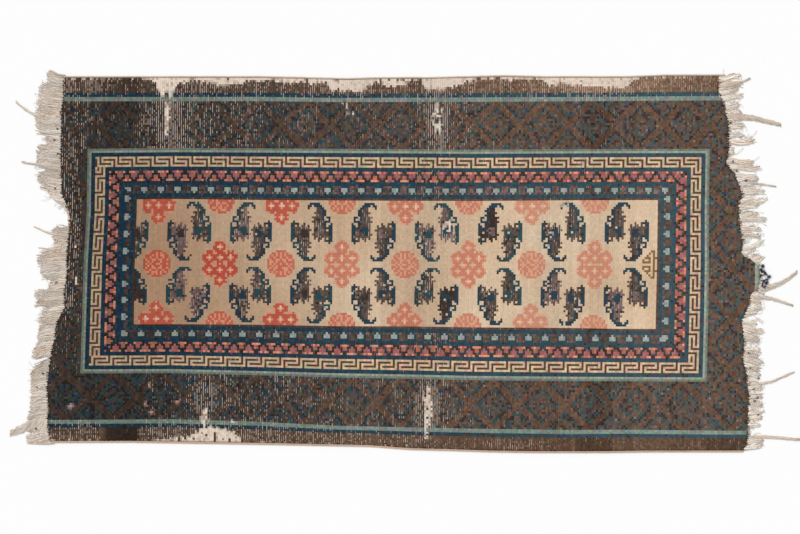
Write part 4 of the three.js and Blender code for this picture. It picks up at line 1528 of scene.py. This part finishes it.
weft = math_node(knots_group, "MULTIPLY", line.outputs["Result"], taken.outputs["Weft Shows"])
knots_group.links.new(cushion, given.inputs["Cushion"])
knots_group.links.new(weft, given.inputs["Weft"])
# Rib is the hump across a knot; the pile material uses it to paint shade into the grooves of bare cloth.
knots_group.links.new(across_hump, given.inputs["Rib"])
print("Group", knots_group.name, "has", len(knots_group.nodes), "nodes")

# %% [markdown]
# Twist: the slanting ridges of a plied yarn, from the length along the thread and the share of the way
# round it. The cotton materials use its height as a bump and as painted shade, darker in the grooves.

# %% Group: twist
twist, taken, given = new_group(
    "Twist",
    [("Thread", VECTOR, None), ("Pitch", FLOAT, 5.0)],
    [("Height", FLOAT)],
)
split = twist.nodes.new("ShaderNodeSeparateXYZ")
twist.links.new(taken.outputs["Thread"], split.inputs[0])
turns = math_node(twist, "DIVIDE", split.outputs["X"], taken.outputs["Pitch"])
turned = math_node(twist, "ADD", turns, split.outputs["Y"])
wave = math_node(twist, "SINE", math_node(twist, "MULTIPLY", turned, 4 * np.pi))
height = math_node(twist, "MULTIPLY_ADD", wave, 0.5, 0.5)
twist.links.new(height, given.inputs["Height"])
print("Group", twist.name, "has", len(twist.nodes), "nodes")

# %% [markdown]
# The materials put the groups together. Both start from the dye that each face carries.

# %% Cloth materials


def place_group(tree, group, **values):
    """A group in a material, with its sockets fed by links or set to numbers."""
    node = tree.nodes.new("ShaderNodeGroup")
    node.node_tree = group
    for name, value in values.items():
        feed(tree, node.inputs[name.replace("_", " ")], value)
    return node.outputs


def attribute(tree, name):
    node = tree.nodes.new("ShaderNodeAttribute")
    node.attribute_name = name
    return node.outputs["Color"]


def start_material(name, roughness, sheen):
    """A new material with its shader, its object coordinates and its thread coordinates."""
    material = bpy.data.materials.new(name)
    material.use_nodes = True
    tree = material.node_tree
    shader = tree.nodes["Principled BSDF"]
    shader.inputs["Roughness"].default_value = roughness
    shader.inputs["Specular IOR Level"].default_value = 0.06
    shader.inputs["Sheen Weight"].default_value = sheen
    shader.inputs["Sheen Roughness"].default_value = 0.6
    place = tree.nodes.new("ShaderNodeTexCoord").outputs["Object"]
    grid = tree.nodes.new("ShaderNodeUVMap")
    grid.uv_map = "thread_place"
    return material, tree, shader, place, grid.outputs["UV"]


def bump(tree, height, strength, distance, normal=None):
    node = tree.nodes.new("ShaderNodeBump")
    node.inputs["Strength"].default_value = strength
    node.inputs["Distance"].default_value = distance
    feed(tree, node.inputs["Height"], height)
    feed(tree, node.inputs["Normal"], normal)
    return node.outputs["Normal"]


def shaded(tree, colour, shade):
    """The colour made lighter or darker by the shade."""
    grey = tree.nodes.new("ShaderNodeCombineColor")
    for socket in grey.inputs[:3]:
        feed(tree, socket, shade)
    return mix_colour(tree, 1.0, colour, grey.outputs[0], "MULTIPLY")


def wool_material():
    material, tree, shader, place, grid = start_material("wool_pile", 0.95, 0.0)
    state = tree.nodes.new("ShaderNodeSeparateColor")
    tree.links.new(attribute(tree, "state"), state.inputs[0])
    shows, is_bare = state.outputs[0], state.outputs[1]
    knot = place_group(tree, knots_group, Grid=grid, Weft_Shows=shows)
    hair = place_group(tree, fibres, Place=place, Scale=700.0, Contrast=0.32)
    weft_tint = tuple(to_linear((196, 177, 163))) + (1.0,)
    standing_share = math_node(tree, "SUBTRACT", 1.0, is_bare)
    weft = math_node(tree, "MULTIPLY", knot["Weft"], standing_share)
    colour = mix_colour(tree, weft, attribute(tree, "dye"), weft_tint)
    # The bare cloth is painted darker between its ribs: painted shade in the grooves of the foundation.
    painted_groove_shade = math_node(tree, "MULTIPLY", is_bare, math_node(tree, "SUBTRACT", 1.0, knot["Rib"]))
    painted_rib_shade = math_node(tree, "MULTIPLY_ADD", painted_groove_shade, -0.16, 1.0)
    shade = math_node(tree, "MULTIPLY", hair["Shade"], painted_rib_shade)
    colour = shaded(tree, colour, shade)
    soiled = place_group(tree, soil, Colour=colour, Place=place, Scale=5.0, Amount=0.12)
    tree.links.new(soiled["Colour"], shader.inputs["Base Color"])
    hair_normal = bump(tree, hair["Height"], 0.5, 0.0006)
    tree.links.new(bump(tree, knot["Cushion"], 0.45, 0.0009, hair_normal), shader.inputs["Normal"])
    return material


def cotton_material(name, pitch, soil_amount):
    material, tree, shader, place, grid = start_material(name, 0.9, 0.05)
    hair = place_group(tree, fibres, Place=place, Scale=900.0, Contrast=0.14)
    ply = place_group(tree, twist, Thread=grid, Pitch=pitch)
    # The ply's grooves are painted darker and its ridges lighter: painted shade of the twist, beside its
    # bump.
    painted_twist_shade = math_node(tree, "MULTIPLY_ADD", ply["Height"], 0.12, 0.92)
    shade = math_node(tree, "MULTIPLY", hair["Shade"], painted_twist_shade)
    colour = shaded(tree, attribute(tree, "dye"), shade)
    soiled = place_group(tree, soil, Colour=colour, Place=place, Scale=14.0, Amount=soil_amount)
    tree.links.new(soiled["Colour"], shader.inputs["Base Color"])
    hair_normal = bump(tree, hair["Height"], 0.4, 0.0004)
    tree.links.new(bump(tree, ply["Height"], 0.5, 0.0006, hair_normal), shader.inputs["Normal"])
    return material


wool = wool_material()
loose_cotton = cotton_material("loose_cotton", 5.0, 0.30)
wrapped_cotton = cotton_material("wrapped_cotton", WRAP, 0.35)
loose_wool = cotton_material("loose_wool", 4.0, 0.10)
print("Materials:", [material.name for material in bpy.data.materials])

# %% [markdown]
# Each piece now gets its finish, rides on the rug's one body, and stands for its part of the frame.

# %% Dressing the frame
PIECES = [
    (pile, wool, "rug_body", "pile"),
    (fringe_left, loose_cotton, "fringe_left", "cotton"),
    (fringe_right, loose_cotton, "fringe_right", "cotton"),
    (tufts_left, loose_wool, None, "pile"),
    (tufts_right, loose_wool, None, "pile"),
    (selvedge_upper, wrapped_cotton, "selvedge_upper", "cotton"),
    (selvedge_lower, wrapped_cotton, "selvedge_lower", "tan_cotton"),
]
for piece, material, node, slot in PIECES:
    piece.data.materials.append(material)
    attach(piece, "root")
    if node:
        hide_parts(node)

# %% [markdown]
# The studio: a pale floor that runs far past the rug, an even white sky for the soft light, and one large
# lamp up to the left, low enough for the pile to throw small shadows. The camera looks straight down.

# %% Floor, light and camera
FLOOR_SIZE = 60.0
floor_mesh = bpy.data.meshes.new("floor")
half = FLOOR_SIZE / 2
floor_corners = [(-half, -half, 0), (half, -half, 0), (half, half, 0), (-half, half, 0)]
floor_mesh.from_pydata(floor_corners, [], [(0, 1, 2, 3)])
floor = bpy.data.objects.new("floor", floor_mesh)
bpy.context.scene.collection.objects.link(floor)
floor_paint = bpy.data.materials.new("floor_paint")
floor_paint.use_nodes = True
floor_shader = floor_paint.node_tree.nodes["Principled BSDF"]
floor_shader.inputs["Base Color"].default_value = (0.93, 0.93, 0.93, 1)
floor_shader.inputs["Roughness"].default_value = 1.0
floor_shader.inputs["Specular IOR Level"].default_value = 0.0
floor.data.materials.append(floor_paint)

SKY_SHARE = 0.68
LAMP_SHARE = 0.38
LAMP_HEIGHT_ANGLE = np.radians(42)
LAMP_SIDE_ANGLE = np.radians(38)
world = bpy.data.worlds.new("soft_sky")
world.use_nodes = True
world.node_tree.nodes["Background"].inputs["Color"].default_value = (1, 1, 1, 1)
world.node_tree.nodes["Background"].inputs["Strength"].default_value = SKY_SHARE
bpy.context.scene.world = world

lamp_data = bpy.data.lights.new("window_lamp", "SUN")
lamp_data.angle = np.radians(22)
lamp_data.energy = float(LAMP_SHARE * np.pi / np.sin(LAMP_HEIGHT_ANGLE))
lamp = bpy.data.objects.new("window_lamp", lamp_data)
lamp.rotation_euler = (float(np.pi / 2 - LAMP_HEIGHT_ANGLE), 0.0, float(np.pi + LAMP_SIDE_ANGLE))
bpy.context.scene.collection.objects.link(lamp)
bpy.context.scene.view_settings.view_transform = "Standard"

VIEW_WIDTH = 2.4
VIEW_CENTRE = (-0.018, -0.014)
camera_data = bpy.data.cameras.new("camera")
camera_data.lens = 85
camera_data.sensor_width = 36
camera = bpy.data.objects.new("camera", camera_data)
camera.location = (*VIEW_CENTRE, VIEW_WIDTH * camera_data.lens / camera_data.sensor_width + 0.005)
bpy.context.scene.collection.objects.link(camera)
bpy.context.scene.camera = camera
print("Camera height:", camera.location.z)
